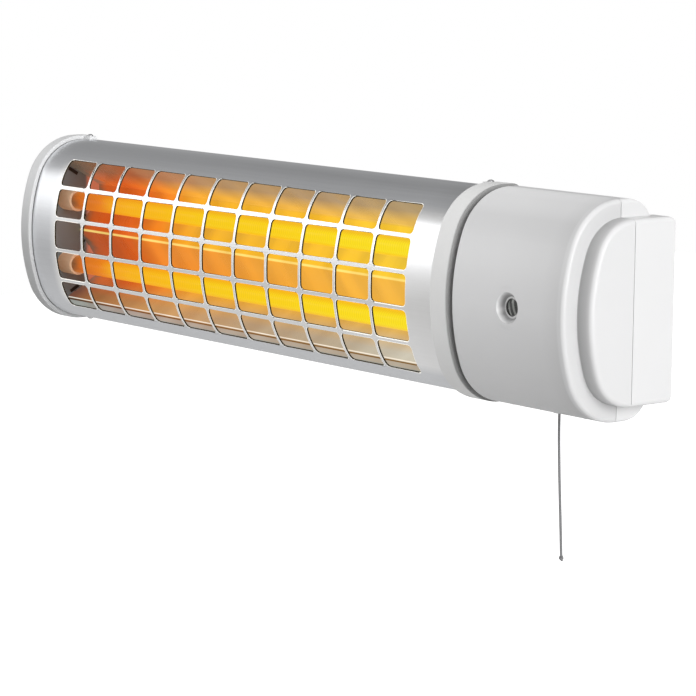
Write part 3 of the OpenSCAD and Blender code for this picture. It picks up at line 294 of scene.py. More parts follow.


# Painted light and shade on each shell: shares of its colour at places along X or Z, in metres. The shares along Z
# end at the X of capLip and of housingCorner.
paintedShellShades = {
    # painted shadow in the gap beside the left cap, and painted shade towards the sheet's right end
    "sheetAlong": ((-0.2680, 0.12), (-0.2656, 0.12), (-0.2650, 1.0), (0.1400, 1.0), (0.1700, 0.92)),
    # the cap and the collar darker towards the bottom, painted shade; from capLip on in X the cap's lip is left out
    # of it
    "capDown": ((-0.055, 0.46), (-0.01, 0.60), (0.02, 0.80), (0.05, 0.92)),
    "capLip": -0.2680,
    "collarDown": ((-0.055, 0.74), (-0.02, 0.90), (0.05, 0.96)),
    # painted shadow in the groove between the collar and the housing
    "collarAlong": ((0.165, 1.0), (0.1788, 1.0), (0.1800, 0.55), (0.1806, 0.14), (0.186, 0.14)),
    # painted light on the housing's top and painted shade towards its bottom
    "housingDown": ((-0.063, 0.53), (-0.045, 0.64), (0.0, 0.78), (0.03, 0.75), (0.05, 0.72), (0.060, 0.84),
                    (0.0632, 0.97)),
    "housingCorner": 0.273,
    # painted shade towards the housing's end, on its end band, in the crease at the block and on the block's side
    "housingAlong": ((0.18, 1.0), (0.22, 0.97), (0.26, 0.90), (0.2735, 0.82), (0.2757, 0.68), (0.2787, 0.68),
                     (0.2793, 0.36), (0.2855, 0.50), (0.2885, 0.68), (0.291, 0.72)),
}

sheetMetal = brushed("brushedSheet", (0.78, 0.79, 0.81), 0.34, (6.0, 900.0, 900.0))
# Painted shadow beside the left cap and painted shade towards the right end of the sheet.
shadeAlong(sheetMetal, paintedShellShades["sheetAlong"])
warmBars(sheetMetal, barSizes)
capWhite = moulded("capWhite", (0.78, 0.785, 0.79), 0.42)
# Painted shade on the cap towards its bottom, and on the collar towards its bottom and in the groove beside it.
shadeDown(capWhite, paintedShellShades["capDown"], keepFrom=paintedShellShades["capLip"])
collarWhite = moulded("collarWhite", (0.80, 0.80, 0.795), 0.42)
shadeDown(collarWhite, paintedShellShades["collarDown"])
shadeAlong(collarWhite, paintedShellShades["collarAlong"])
# housingWhite and housingFront are one white plastic; housingFront starts lighter and carries painted light and
# shade.
housingWhite = moulded("housingWhite", (0.67, 0.67, 0.673), 0.36)
housingFront = moulded("housingFront", (0.90, 0.90, 0.905), 0.36)
shadeDown(housingFront, paintedShellShades["housingDown"], keepFrom=paintedShellShades["housingCorner"])
shadeAlong(housingFront, paintedShellShades["housingAlong"])
backSteel = brushed("backSteel", (0.55, 0.56, 0.57), 0.42, (500.0, 20.0, 30.0))
fixingSteel = brushed("fixingSteel", (0.62, 0.62, 0.63), 0.3, (900.0, 900.0, 900.0), 0.1)
darkPlastic = moulded("darkPlastic", (0.05, 0.05, 0.055), 0.45)
fibreBrown = moulded("fibreBrown", (0.22, 0.12, 0.07), 0.7, 4.0)
brassMetal = brushed("brassMetal", (0.72, 0.55, 0.24), 0.3, (300.0, 300.0, 300.0), 0.1)
sleeveWhite = moulded("sleeveWhite", (0.75, 0.74, 0.68), 0.8, 5.0)
rubberBlack = moulded("rubberBlack", (0.025, 0.025, 0.027), 0.6)
spoolWhite = moulded("spoolWhite", (0.72, 0.72, 0.68), 0.35)

dress(capWhite, "left_cap")
dress(collarWhite, "right_collar")
dress(housingFront, "front_housing")
dress(housingWhite, "rear_housing", "left_foot", "left_foot_cover", "cord_bush", "cable_clamp",
      "terminal_block")
dress(backSteel, "back_plate")
dress(fixingSteel, "back_rivets", "cap_screws", "wave_washer", "foot_screw", "housing_screws", "switch_axle",
      "spool_spring", "terminal_screws", "clamp_screws")
dress(darkPlastic, "thermal_cutout", "switch_case", "switch_cover")
dress(fibreBrown, "friction_ring")
dress(brassMetal, "tube_terminals", "end_link", "switch_contacts")
dress(sleeveWhite, "return_lead", "tube_leads")
dress(rubberBlack, "cable_grommet")
dress(spoolWhite, "cord_spool", "ratchet_rotor")
print("shells dressed")


# Grille: the imported sheet with the outer edges of its punched windows rolled over. Sizes in metres. The rolled
# edges carry a painted highlight and the cut edges painted shade.

grilleSizes = {
    "frontRadius": 0.1105, "frontCentreY": 0.039, "cornerRadius": 0.036, "cornerCentre": (-0.031, 0.0255),
    "roll": 0.0006, "rollSteps": 3, "near": 0.0001, "merge": 0.000005,
    "flat": 0.005,  # radians
    "sharp": 60, "smooth": 50,  # degrees
    "faceOn": 0.95,  # a face this square to the way out is on the sheet's skin
    # faces less square than cut, or than cutRight if they face +X, get the cut edges' painted shade
    "cut": 0.5, "cutRight": 0.85,  # one less square than this is a cut edge; cutRight is for faces towards +X
    "rightward": 0.4,
}


def outward(point, sizes):
    # The way out of the sheet's curve at a point, and how far outside the outer skin the point is.
    cornerY, cornerZ = sizes["cornerCentre"]
    frontY = sizes["frontCentreY"]
    side = math.copysign(1.0, point.z)
    turn = math.atan2(cornerZ, frontY - cornerY)
    if math.atan2(abs(point.z), frontY - point.y) < turn:
        arm = Vector((0.0, point.y - frontY, point.z))
        return arm.normalized(), arm.length - sizes["frontRadius"]
    arm = Vector((0.0, point.y - cornerY, point.z - side * cornerZ))
    return arm.normalized(), arm.length - sizes["cornerRadius"]


def onOuterFace(point, sizes):
    return point.y < sizes["cornerCentre"][0] and abs(outward(point, sizes)[1]) < sizes["near"]


def roundNormals(mesh, sizes):
    # Gives the sheet's skins the normals of their curve, and its cut edges the dark material of painted shade.
    normals = [corner.vector.copy() for corner in mesh.corner_normals]
    for polygon in mesh.polygons:
        for i in polygon.loop_indices:
            place = mesh.vertices[mesh.loops[i].vertex_index].co
            if place.y < sizes["cornerCentre"][0]:
                away = outward(place, sizes)[0]
                facing = polygon.normal.dot(away)
                cut = sizes["cutRight"] if polygon.normal.x > sizes["rightward"] else sizes["cut"]
                if polygon.material_index == 0 and abs(facing) > sizes["faceOn"]:
                    normals[i] = away * math.copysign(1.0, facing)
                elif abs(facing) < cut:
                    polygon.material_index = 2
    mesh.normals_split_custom_set(normals)


def makeGrille(sizes):
    deselectAll()
    grille = cadNodes["grille_shell"].copy()
    grille.data = grille.data.copy()
    grille.name = "grille"
    bpy.context.scene.collection.objects.link(grille)
    bpy.context.view_layer.objects.active = grille
    grille.select_set(True)
    grille.data.materials.clear()
    for material in (sheetMetal, rolledEdgeHighlight, cutEdgeShade):
        grille.data.materials.append(material)
    bpy.ops.object.mode_set(mode="EDIT")
    bpy.ops.mesh.select_mode(type="EDGE")
    bpy.ops.mesh.select_all(action="SELECT")
    bpy.ops.mesh.remove_doubles(threshold=sizes["merge"])
    bpy.ops.mesh.dissolve_limited(angle_limit=sizes["flat"])
    bpy.ops.mesh.select_all(action="DESELECT")
    bpy.ops.mesh.edges_select_sharp(sharpness=math.radians(sizes["sharp"]))
    bpy.ops.object.mode_set(mode="OBJECT")
    mesh = grille.data
    outer = [onOuterFace(vertex.co, sizes) for vertex in mesh.vertices]
    for edge in mesh.edges:
        edge.select = edge.select and all(outer[i] for i in edge.vertices)
    bpy.ops.object.mode_set(mode="EDIT")
    bpy.ops.mesh.bevel(offset=sizes["roll"], segments=sizes["rollSteps"], profile=0.5, material=1, loop_slide=False)
    bpy.ops.object.mode_set(mode="OBJECT")
    bpy.ops.object.shade_smooth_by_angle(angle=math.radians(sizes["smooth"]))
    roundNormals(mesh, sizes)
    return grille


# Painted highlight on the rolled edges: a near white colour and a faint warm glow.
rolledEdgeHighlight = brushed("rolledEdgeHighlight", (0.93, 0.92, 0.89), 0.5, (900.0, 900.0, 900.0), 0.05, 0.94)
shaderOf(rolledEdgeHighlight).inputs["Metallic"].default_value = 0.1
addGlow(rolledEdgeHighlight, (1.0, 0.95, 0.84), 0.40)
# Painted shade on the cut edges: near black, with little shine.
cutEdgeShade = brushed("cutEdgeShade", (0.035, 0.030, 0.018), 0.6, (900.0, 900.0, 900.0), 0.1, 0.8)
shaderOf(cutEdgeShade).inputs["Metallic"].default_value = 0.0
shaderOf(cutEdgeShade).inputs["Specular IOR Level"].default_value = 0.1
grille = makeGrille(grilleSizes)
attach(grille, "drum")
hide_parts("grille_shell")
rolledArea = sum(face.area for face in grille.data.polygons if face.material_index == 1)
print("grille made", round(1e6 * rolledArea), "mm2 rolled")


# Reflector: the tubes' light and the reflections of its surroundings are painted on it as a glow, with a painted
# highlight along the ridge's crest. Its zones follow its folds: ridge, troughs and flaps, by height off the middle.

reflectorSizes = {
    "crest": 0.0010, "foldIn": 0.0243, "foldOut": 0.0308, "flapEnd": 0.0430, "blend": 0.001, "flapBlend": 0.003,
    "crestHighlightColor": (0.98, 0.78, 0.22), "crestShare": 0.8,
    # The lip, the fold and the ledge along the lower flap's end: places down from the middle, and above the ledge.
    # The lip has a painted highlight, the fold a painted shadow and the ledge painted light.
    "ledge": 0.0474, "ledgeFade": 0.0003, "ledgeLightColor": (0.27, 0.31, 0.30),
    "fold": 0.0007, "foldShadowColor": (0.02, 0.015, 0.01),
    "lip": (0.0014, 0.0009), "lipFade": 0.0002, "lipHighlightColor": (0.80, 0.80, 0.72),
    "barPitch": 0.0345, "barShade": (0.88, 1.04),  # the bars' soft shadows follow the windows' pitch
    "streakScale": (70.0, 14.0, 14.0), "streakShade": (0.90, 1.05), "streakRoughness": (0.24, 0.36),
    "rippleScale": (220.0, 40.0, 40.0), "rippleBump": 0.12, "rippleDepth": 0.0002,
}
# Painted light on the reflector's zones, as a glow: the tubes' light and reflected surroundings, by place along X.
ridgePaintedLight = (
    (-0.250, (0.10, 0.07, 0.05)), (-0.243, (0.36, 0.07, 0.02)), (-0.231, (0.44, 0.07, 0.015)),
    (-0.197, (0.56, 0.08, 0.006)), (-0.164, (0.70, 0.19, 0.013)), (-0.095, (0.72, 0.25, 0.018)),
    (0.0, (0.76, 0.35, 0.025)), (0.11, (0.76, 0.41, 0.04)),
)
troughPaintedLight = (
    (-0.250, (0.12, 0.07, 0.04)), (-0.243, (0.50, 0.08, 0.01)), (-0.231, (0.60, 0.08, 0.006)),
    (-0.197, (0.64, 0.095, 0.005)), (-0.164, (0.76, 0.20, 0.004)), (-0.13, (0.77, 0.34, 0.01)),
    (-0.095, (0.78, 0.40, 0.013)), (0.0, (0.82, 0.45, 0.014)), (0.11, (0.83, 0.56, 0.03)),
)
flapPaintedLight = (
    (-0.250, (0.15, 0.10, 0.07)), (-0.243, (0.46, 0.10, 0.02)), (-0.209, (0.55, 0.09, 0.012)),
    (-0.175, (0.66, 0.19, 0.018)), (-0.14, (0.64, 0.29, 0.03)), (-0.10, (0.62, 0.32, 0.035)),
    (0.067, (0.52, 0.34, 0.09)),
)
upperEdgePaintedLight = (
    (-0.250, (0.10, 0.08, 0.06)), (-0.22, (0.17, 0.09, 0.05)), (-0.185, (0.21, 0.08, 0.04)),
    (-0.15, (0.22, 0.14, 0.08)), (-0.117, (0.20, 0.16, 0.11)), (0.055, (0.15, 0.16, 0.15)),
)
lowerEdgePaintedLight = (
    (-0.250, (0.16, 0.06, 0.04)), (-0.22, (0.30, 0.12, 0.04)), (-0.15, (0.46, 0.28, 0.11)),
    (-0.05, (0.30, 0.27, 0.19)), (0.05, (0.30, 0.33, 0.28)), (0.12, (0.44, 0.50, 0.46)),
)


def makeReflectorMaterial(sizes):
    material = newMaterial("reflectorSheet", (0.19, 0.12, 0.05), 0.28, metallic=0.7)
    split = splitPlace(material)
    high = mathNode(material, "ABSOLUTE", split.outputs["Z"])
    ridge = glowAndPaintedLightRamp(material, split, ridgePaintedLight)
    trough = glowAndPaintedLightRamp(material, split, troughPaintedLight)
    flap = glowAndPaintedLightRamp(material, split, flapPaintedLight)
    blend = sizes["blend"]
    above = ranged(material, split.outputs["Z"], -blend, blend, 0.0, 1.0)
    flapEdge = mixed(material, above, glowAndPaintedLightRamp(material, split, lowerEdgePaintedLight),
                     glowAndPaintedLightRamp(material, split, upperEdgePaintedLight))
    glow = mixed(material, above, ridge, trough)
    glow = mixed(material, ranged(material, high, sizes["foldIn"] - blend, sizes["foldIn"] + blend, 0.0, 1.0),
                 glow, trough)
    glow = mixed(material, ranged(material, high, sizes["foldOut"] - blend, sizes["foldOut"] + blend, 0.0, 1.0),
                 glow, flap)
    glow = mixed(material, ranged(material, high, sizes["foldOut"] + sizes["flapBlend"], sizes["flapEnd"], 0.0, 1.0),
                 glow, flapEdge)
    # painted highlight along the ridge's crest
    crest = ranged(material, high, sizes["crest"] * 0.5, sizes["crest"], 1.0, 0.0)
    glow = mixed(material, mathNode(material, "MULTIPLY", crest, sizes["crestShare"]), glow, sizes["crestHighlightColor"])
    low = mathNode(material, "MULTIPLY", split.outputs["Z"], -1.0)

    def past(place, fade):
        return ranged(material, low, place, place + fade, 0.0, 1.0)

    # painted highlight on the lip, painted shadow in the fold and painted light on the ledge
    ledge = past(sizes["ledge"], sizes["ledgeFade"])
    fold = mathNode(material, "SUBTRACT", past(sizes["ledge"] - sizes["fold"], sizes["ledgeFade"]), ledge)
    lipFrom, lipTo = sizes["lip"]
    lip = mathNode(material, "SUBTRACT", past(sizes["ledge"] - lipFrom, sizes["lipFade"]),
                   past(sizes["ledge"] - lipTo, sizes["lipFade"]))
    glow = mixed(material, lip, glow, sizes["lipHighlightColor"])
    glow = mixed(material, fold, glow, sizes["foldShadowColor"])
    glow = mixed(material, ledge, glow, sizes["ledgeLightColor"])
    streaks = noise(material, objectPlace(material, scale=sizes["streakScale"]), 1.0, 2.0)
    bars = mathNode(material, "SINE", mathNode(material, "MULTIPLY", split.outputs["X"],
                                              2 * math.pi / sizes["barPitch"]))
    shade = mathNode(material, "MULTIPLY", ranged(material, streaks, *noiseSpan, *sizes["streakShade"]),
                     ranged(material, bars, -1.0, 1.0, *sizes["barShade"]))
    # The painted light goes in as a glow, with painted soft shadows of the bars and painted streaks.
    link(material, glow, shaderOf(material).inputs["Emission Color"])
    link(material, shade, shaderOf(material).inputs["Emission Strength"])
    link(material, ranged(material, streaks, *noiseSpan, *sizes["streakRoughness"]),
         shaderOf(material).inputs["Roughness"])
    ripple = noise(material, objectPlace(material, scale=sizes["rippleScale"]), 1.0, 2.0)
    addBump(material, ripple, sizes["rippleBump"], sizes["rippleDepth"])
    return material


# End plates: grey enamel with the slots that take the reflector's tabs, painted black as the shade inside them. Each
# slot has its middle, in Y and Z, its lean and its half length and half width, in metres and radians. Near the wall
# the tubes' red light is painted on the plates as a glow, and the enamel's bluish tint is a painted reflection.

plateSizes = {
    "slots": (((-0.0465, 0.0411), 0.536, 0.0040, 0.0010), ((-0.0455, -0.0407), -0.536, 0.0038, 0.0010),
              ((-0.0372, -0.0079), -0.99, 0.0040, 0.0003), ((-0.0364, 0.0097), 0.99, 0.0028, 0.0003)),
    "rim": 0.0004, "slotShadeColor": (0.003, 0.003, 0.003),
    # the tubes' red light is painted on the plate as a glow, near the wall
    "paintedLightY": -0.0335,  # nearer the wall than this the plate is as red as the reflector beside it
    "paintedLightFade": 0.003, "paintedLightColor": (0.42, 0.07, 0.015),
    # the enamel's own grey, with a bluish tint that is a painted reflection
    "mottle": (40.0, 3.0), "mottleColors": ((0.15, 0.20, 0.22), (0.21, 0.27, 0.30)), "mottleRoughness": (0.42, 0.58),
    "grain": (1500.0, 2.0), "grainBump": 0.08, "grainDepth": 0.0001,
}


def slotMask(material, split, middle, lean, halfLength, halfWidth, rim):
    y = mathNode(material, "SUBTRACT", split.outputs["Y"], middle[0])
    z = mathNode(material, "SUBTRACT", split.outputs["Z"], middle[1])
    along = mathNode(material, "SUBTRACT", mathNode(material, "MULTIPLY", y, math.cos(lean)),
                     mathNode(material, "MULTIPLY", z, math.sin(lean)))
    across = mathNode(material, "ADD", mathNode(material, "MULTIPLY", y, math.sin(lean)),
                      mathNode(material, "MULTIPLY", z, math.cos(lean)))
    inLength = ranged(material, mathNode(material, "ABSOLUTE", along), halfLength, halfLength + rim, 1.0, 0.0)
    inWidth = ranged(material, mathNode(material, "ABSOLUTE", across), halfWidth, halfWidth + rim, 1.0, 0.0)
    return mathNode(material, "MULTIPLY", inLength, inWidth)


def makeEndPlateMaterial(sizes):
    material = newMaterial("endPlateEnamel", (0.19, 0.19, 0.19), 0.5, metallic=0.2)
    split = splitPlace(material)
    mottle = noise(material, objectPlace(material), *sizes["mottle"])
    color = mixed(material, mottle, *sizes["mottleColors"])
    deep = ranged(material, split.outputs["Y"], sizes["paintedLightY"] - sizes["paintedLightFade"], sizes["paintedLightY"], 0.0, 1.0)
    link(material, mixed(material, deep, (0.0, 0.0, 0.0), sizes["paintedLightColor"]),
         shaderOf(material).inputs["Emission Color"])
    shaderOf(material).inputs["Emission Strength"].default_value = 1.0
    # the slots painted black, as the shade inside them
    for slot in sizes["slots"]:
        color = mixed(material, slotMask(material, split, *slot, sizes["rim"]), color, sizes["slotShadeColor"])
    link(material, color, shaderOf(material).inputs["Base Color"])
    link(material, ranged(material, mottle, *noiseSpan, *sizes["mottleRoughness"]),
         shaderOf(material).inputs["Roughness"])
    addBump(material, noise(material, objectPlace(material), *sizes["grain"]), sizes["grainBump"],
            sizes["grainDepth"])
    return material


dress(makeReflectorMaterial(reflectorSizes), "reflector")
dress(makeEndPlateMaterial(plateSizes), "left_end_plate", "right_end_plate")


# Tubes: clouded quartz that glows from the coil inside, and stays dull beside the ceramic cap at the left.

tubeSizes = {
    "axisZ": 0.022, "radius": 0.00575, "coilPitch": 0.0021,
    "edgeFrom": 0.55, "edgeShare": 0.45, "edgeColor": (0.75, 0.20, 0.01),  # the redder glow near the tube's edges
    "coilShade": (0.94, 1.04),
    "rippleScale": (120.0, 500.0, 500.0), "rippleRoughness": (0.24, 0.4), "rippleBump": 0.1, "rippleDepth": 0.0001,
}
tubeHeat = (
    (-0.245, (0.12, 0.06, 0.03)), (-0.236, (0.20, 0.07, 0.03)), (-0.226, (0.55, 0.12, 0.015)),
    (-0.205, (0.74, 0.19, 0.01)), (-0.185, (0.84, 0.36, 0.008)), (-0.17, (0.87, 0.42, 0.006)),
    (-0.135, (0.88, 0.46, 0.003)), (-0.07, (0.88, 0.57, 0.004)), (0.0, (0.90, 0.61, 0.005)),
    (0.07, (0.90, 0.68, 0.008)), (0.14, (0.90, 0.72, 0.015)),
)


def makeTubeMaterial(sizes):
    material = newMaterial("glowingQuartz", (0.08, 0.04, 0.005), 0.3, specular=0.06)
    split = splitPlace(material)
    high = mathNode(material, "SUBTRACT", mathNode(material, "ABSOLUTE", split.outputs["Z"]), sizes["axisZ"])
    rise = mathNode(material, "ABSOLUTE", high)
    edge = ranged(material, rise, sizes["radius"] * sizes["edgeFrom"], sizes["radius"], 0.0, sizes["edgeShare"])
    glow = mixed(material, edge, glowAndPaintedLightRamp(material, split, tubeHeat), sizes["edgeColor"])
    turns = mathNode(material, "SINE",
                     mathNode(material, "MULTIPLY", split.outputs["X"], 2 * math.pi / sizes["coilPitch"]))
    link(material, glow, shaderOf(material).inputs["Emission Color"])
    link(material, ranged(material, turns, -1.0, 1.0, *sizes["coilShade"]),
         shaderOf(material).inputs["Emission Strength"])
    ripple = noise(material, objectPlace(material, scale=sizes["rippleScale"]), 1.0, 2.0)
    link(material, ranged(material, ripple, *noiseSpan, *sizes["rippleRoughness"]),
         shaderOf(material).inputs["Roughness"])
    addBump(material, ripple, sizes["rippleBump"], sizes["rippleDepth"])
    return material


coilGlow = newMaterial("coilGlow", (0.9, 0.6, 0.2), 0.3)
addGlow(coilGlow, (1.0, 0.42, 0.05), 4.0)
# A faint orange glow on the ceramic caps is the tubes' light painted on them.
tubeCapCeramic = moulded("tubeCapCeramic", (0.70, 0.52, 0.36), 0.6, 3.0)
addGlow(tubeCapCeramic, (0.9, 0.42, 0.16), 0.1)
dress(makeTubeMaterial(tubeSizes), "upper_tube", "lower_tube")
dress(coilGlow, "upper_coil", "lower_coil")
dress(tubeCapCeramic, "upper_left_tube_cap", "upper_right_tube_cap", "lower_left_tube_cap", "lower_right_tube_cap")
print("tubes and reflector dressed")


# Lens and lamp. The recess round the lens has painted shade on its left, and the lens has a painted highlight on its
# rim's right side and painted glints across its facets.

lensSizes = {
    # the lens's rim is painted dark on its left and with a bright highlight on its right
    "x": 0.232, "rim": 0.0046, "rimFade": 0.0003, "rimTurn": (-0.003, 0.002),
    "rimDark": (0.04, 0.04, 0.04), "rimBright": (0.95, 0.95, 0.95),
    # the facets are painted as stripes of dark and of bright glints
    "facet": 0.0040, "facetLean": 0.3, "facetTurn": (0.0, 0.6),
    "facetDark": (0.07, 0.075, 0.07), "facetBright": (0.40, 0.41, 0.39),
    # painted shade on the left of the recess round the lens
    "recess": 0.0130, "recessFade": 0.001, "recessDepth": (-0.0728, -0.0700), "recessTurn": (-0.006, 0.006),
    "recessShade": (0.34, 0.34, 0.34),
}


def fromLensAxis(material, split, sizes):
    # A place's X from the lens's axis, its Z, and how far it is from the axis.
    x = mathNode(material, "SUBTRACT", split.outputs["X"], sizes["x"])
    z = split.outputs["Z"]
    away = mathNode(material, "SQRT", mathNode(material, "ADD", mathNode(material, "MULTIPLY", x, x),
                                               mathNode(material, "MULTIPLY", z, z)))
    return x, z, away


def shadeRecess(material, sizes):
    socket = shaderOf(material).inputs["Base Color"]
    before = socket.links[0].from_socket
    split = splitPlace(material)
    x, z, away = fromLensAxis(material, split, sizes)
    near = ranged(material, away, sizes["recess"] - sizes["recessFade"], sizes["recess"], 1.0, 0.0)
    deep = ranged(material, split.outputs["Y"], *sizes["recessDepth"], 0.0, 1.0)
    left = ranged(material, x, *sizes["recessTurn"], 1.0, 0.0)
    amount = mathNode(material, "MULTIPLY", mathNode(material, "MULTIPLY", near, deep), left)
    link(material, mixed(material, amount, before, sizes["recessShade"], "MULTIPLY"), socket)


def makeLensMaterial(sizes):
    material = makeClear("lensClear", (0.34, 0.36, 0.34), 0.12, 0.92)
    x, z, away = fromLensAxis(material, splitPlace(material), sizes)
    leaned = mathNode(material, "ADD", x, mathNode(material, "MULTIPLY", z, sizes["facetLean"]))
    facets = mathNode(material, "SINE", mathNode(material, "MULTIPLY", leaned, 2 * math.pi / sizes["facet"]))
    inside = mixed(material, ranged(material, facets, *sizes["facetTurn"], 0.0, 1.0),
                   sizes["facetDark"], sizes["facetBright"])
    rimColor = mixed(material, ranged(material, x, *sizes["rimTurn"], 0.0, 1.0),
                     sizes["rimDark"], sizes["rimBright"])
    rim = ranged(material, away, sizes["rim"], sizes["rim"] + sizes["rimFade"], 0.0, 1.0)
    link(material, mixed(material, rim, inside, rimColor), shaderOf(material).inputs["Base Color"])
    return material


def makeClear(name, color, roughness, alpha):
    material = newMaterial(name, color, roughness)
    shader = shaderOf(material)
    shader.inputs["Alpha"].default_value = alpha
    shader.inputs["Transmission Weight"].default_value = 0.3
    addBump(material, noise(material, objectPlace(material), 900.0, 2.0), 0.08, 0.0001)
    return material


# Painted shade in the recess round the lens.
shadeRecess(housingFront, lensSizes)
dress(makeLensMaterial(lensSizes), "lens")
dress(makeClear("lampGlass", (0.75, 0.7, 0.64), 0.15, 0.8), "indicator_lamp")
dress(brushed("lensMetal", (0.85, 0.85, 0.85), 0.22, (200.0, 200.0, 200.0), 0.05), "lens_ring")
print("lens dressed")


# Pull cord and its knot. Sizes in metres. The route is that of the source: X and Z from the cord's top, in mm.

cordSizes = {
    "x": 0.2315, "y": -0.031, "top": -0.0638, "radius": 0.0008, "roundness": 3,
    "braidScale": 900.0, "braidBump": 0.5, "braidDepth": 0.0001,
    "braidDark": (0.10, 0.10, 0.105), "braidLight": (0.24, 0.24, 0.245),
    "route": ((0, 0), (0, -3), (0, -6), (0, -9.5), (0.1, -13.5), (0.2, -17.5), (0.4, -21.5), (0.6, -25.5),
              (0.8, -29.5), (1, -33.5), (1.2, -37.5), (1.5, -41.5), (1.7, -45.5), (2, -49.5), (2.2, -53.5),
              (2.5, -57.5), (2.8, -61.5), (3, -65.5), (3.3, -69.5), (3.5, -73.5), (3.8, -78.5), (4.1, -83.5)),
}
knotSizes = {
    "middle": (0.00085, 0.00062), "sides": (0.0008, 0.0006),  # the radius of a ring and of its strand
    "lean": 0.9, "turn": 0.4, "step": 0.0006, "below": 0.0011, "ringSteps": 20, "strandSteps": 10,
}


def makeCordMaterial(sizes):
    material = newMaterial("cordBraid", (0.50, 0.50, 0.51), 0.75)
    waves = []
    scale = sizes["braidScale"]
    for lean in (1.0, -1.0):
        wave = addNode(material, "ShaderNodeTexWave", wave_type="BANDS", bands_direction="DIAGONAL")
        wave.inputs["Scale"].default_value = 1.0
        link(material, objectPlace(material, scale=(scale * lean, scale * lean, scale)), wave.inputs["Vector"])
        waves.append(wave.outputs["Fac"])
    braid = mathNode(material, "MAXIMUM", *waves)
    link(material, mixed(material, braid, sizes["braidDark"], sizes["braidLight"]),
         shaderOf(material).inputs["Base Color"])
    addBump(material, braid, sizes["braidBump"], sizes["braidDepth"])
    return material


def makeCord(sizes, material):
    points = [Vector((sizes["x"] + x / 1000, sizes["y"], sizes["top"] + z / 1000)) for x, z in sizes["route"]]
    curve = bpy.data.curves.new("pullCord", "CURVE")
    curve.dimensions = "3D"
    curve.bevel_depth = sizes["radius"]
    curve.bevel_resolution = sizes["roundness"]
    curve.use_fill_caps = True
    spline = curve.splines.new("POLY")
    spline.points.add(len(points) - 1)
    for point, place in zip(spline.points, points):
        point.co = (*place, 1.0)
    cord = bpy.data.objects.new("pullCord", curve)
    bpy.context.scene.collection.objects.link(cord)
    cord.data.materials.append(material)
    length = sum((b - a).length for a, b in zip(points, points[1:]))
    return cord, points, length


def makeKnot(sizes, end, material):
    deselectAll()
    major, minor = sizes["middle"]
    steps = {"major_segments": sizes["ringSteps"], "minor_segments": sizes["strandSteps"]}
    bpy.ops.mesh.primitive_torus_add(location=end, major_radius=major, minor_radius=minor, **steps)
    knot = bpy.context.object
    knot.name = "cordKnot"
    bpy.ops.object.mode_set(mode="EDIT")
    major, minor = sizes["sides"]
    for lean in (sizes["lean"], -sizes["lean"]):
        bpy.ops.mesh.select_all(action="DESELECT")
        bpy.ops.mesh.primitive_torus_add(
            location=end + Vector((0, 0, sizes["step"] * lean)), rotation=(lean, sizes["turn"], 0.0),
            major_radius=major, minor_radius=minor, **steps)
    bpy.ops.object.mode_set(mode="OBJECT")
    bpy.ops.object.transform_apply(location=True, rotation=True, scale=True)
    bpy.ops.object.shade_smooth()
    knot.data.materials.append(material)
    return knot


cordMaterial = makeCordMaterial(cordSizes)
cord, cordPoints, cordLength = makeCord(cordSizes, cordMaterial)
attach(cord, "cord")
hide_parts("pull_cord")
knot = makeKnot(knotSizes, cordPoints[-1] - Vector((0, 0, knotSizes["below"])), cordMaterial)
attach(knot, "cord")
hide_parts("cord_knot")
dress(cordMaterial, "cord_lead")
print("cord made", round(cordLength, 4))


# Light, sky and floor.

lightSizes = {
    "floorZ": -0.9,
    "floorGlow": 0.10,
    "sky": 1.0,
    "lamps": (
        # name, place, target, size, power
        ("endLight", (2.4, -0.4, 0.6), (0.25, -0.03, 0.0), 1.4, 44.0),
        ("topLight", (0.6, -0.5, 2.2), (0.1, -0.03, 0.0), 1.6, 15.0),
        ("frontLight", (-1.9, -1.7, 0.75), (0.0, -0.05, 0.0), 0.9, 6.0),
    ),
    "skyStops": ((0.0, 0.42), (0.30, 0.48), (0.46, 0.46), (0.52, 0.50), (0.60, 0.54), (0.67, 0.46), (0.74, 0.32),
                 (0.84, 0.31), (1.0, 0.55)),
    "skyFront": 1.45,  # share of that sky in front of the heater
    "skyBack": 0.70,  # share of it behind
    "skyDepth": 0.7,  # skyFront turns into skyBack between directions with this Y below 0 and above it
    "floorSide": 12.0,
    "floorColor": (0.75, 0.75, 0.75),
}


def makeLamp(name, place, target, size, power):
    data = bpy.data.lights.new(name, "AREA")
    data.shape = "SQUARE"
    data.size = size
    data.energy = power
    lamp = bpy.data.objects.new(name, data)
    bpy.context.scene.collection.objects.link(lamp)
    lamp.location = place
    lamp.rotation_euler = (Vector(target) - Vector(place)).to_track_quat("-Z", "Y").to_euler()


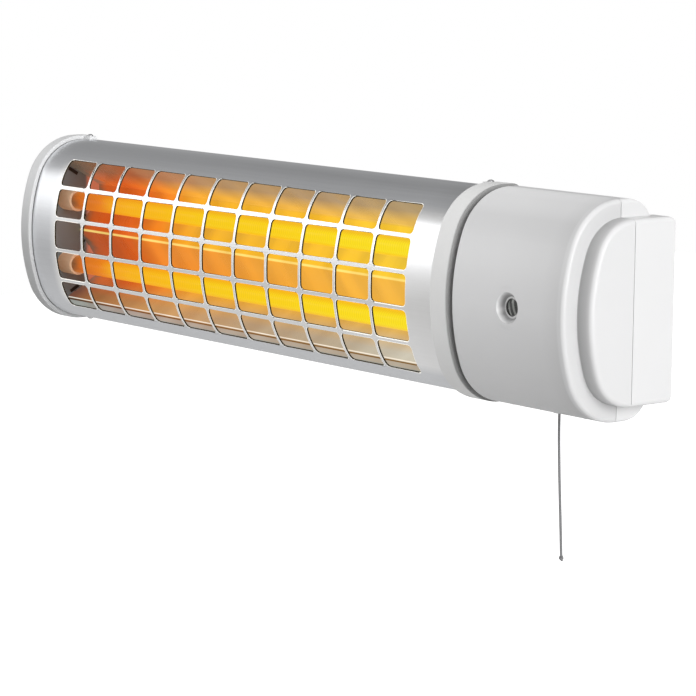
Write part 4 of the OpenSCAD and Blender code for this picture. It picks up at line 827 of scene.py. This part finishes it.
def makeSky(sizes):
    world = bpy.data.worlds.new("studio")
    bpy.context.scene.world = world
    world.use_nodes = True
    nodes = world.node_tree.nodes
    links = world.node_tree.links
    background = nodes["Background"]
    coordinates = nodes.new("ShaderNodeTexCoord")
    split = nodes.new("ShaderNodeSeparateXYZ")
    height = nodes.new("ShaderNodeMapRange")
    height.inputs["From Min"].default_value = -1.0
    height.inputs["From Max"].default_value = 1.0
    shade = nodes.new("ShaderNodeValToRGB")
    stops = sizes["skyStops"]
    while len(shade.color_ramp.elements) < len(stops):
        shade.color_ramp.elements.new(0.5)
    for element, (place, value) in zip(shade.color_ramp.elements, stops):
        element.position = place
        element.color = (value, value, value, 1.0)
    seen = nodes.new("ShaderNodeLightPath")
    choose = nodes.new("ShaderNodeMix")
    choose.data_type = "RGBA"
    choose.inputs[7].default_value = (1.0, 1.0, 1.0, 1.0)
    links.new(coordinates.outputs["Generated"], split.inputs["Vector"])
    links.new(split.outputs["Z"], height.inputs["Value"])
    links.new(height.outputs["Result"], shade.inputs["Fac"])
    links.new(seen.outputs["Is Camera Ray"], choose.inputs[0])
    depth = nodes.new("ShaderNodeMapRange")
    depth.inputs["From Min"].default_value = -sizes["skyDepth"]
    depth.inputs["From Max"].default_value = sizes["skyDepth"]
    depth.inputs["To Min"].default_value = sizes["skyFront"]
    depth.inputs["To Max"].default_value = sizes["skyBack"]
    depth.interpolation_type = "SMOOTHSTEP"
    scaled = nodes.new("ShaderNodeVectorMath")
    scaled.operation = "SCALE"
    links.new(split.outputs["Y"], depth.inputs["Value"])
    links.new(shade.outputs["Color"], scaled.inputs[0])
    links.new(depth.outputs["Result"], scaled.inputs["Scale"])
    links.new(scaled.outputs["Vector"], choose.inputs[6])
    links.new(choose.outputs[2], background.inputs["Color"])
    background.inputs["Strength"].default_value = sizes["sky"]


def makeFloor(sizes):
    deselectAll()
    bpy.ops.mesh.primitive_plane_add(size=sizes["floorSide"], location=(0, 0, sizes["floorZ"]))
    floor = bpy.context.object
    floor.name = "floor"
    bpy.ops.object.transform_apply(location=True)
    material = newMaterial("paleFloor", sizes["floorColor"], 0.9)
    seen = addNode(material, "ShaderNodeLightPath")
    shaderOf(material).inputs["Emission Color"].default_value = (1.0, 1.0, 1.0, 1.0)
    link(material, ranged(material, seen.outputs["Is Camera Ray"], 0.0, 1.0, sizes["floorGlow"], 1.0),
         shaderOf(material).inputs["Emission Strength"])
    floor.data.materials.append(material)


for lamp in lightSizes["lamps"]:
    makeLamp(*lamp)
makeSky(lightSizes)
makeFloor(lightSizes)
bpy.context.scene.view_settings.view_transform = "Standard"
print("light ready")
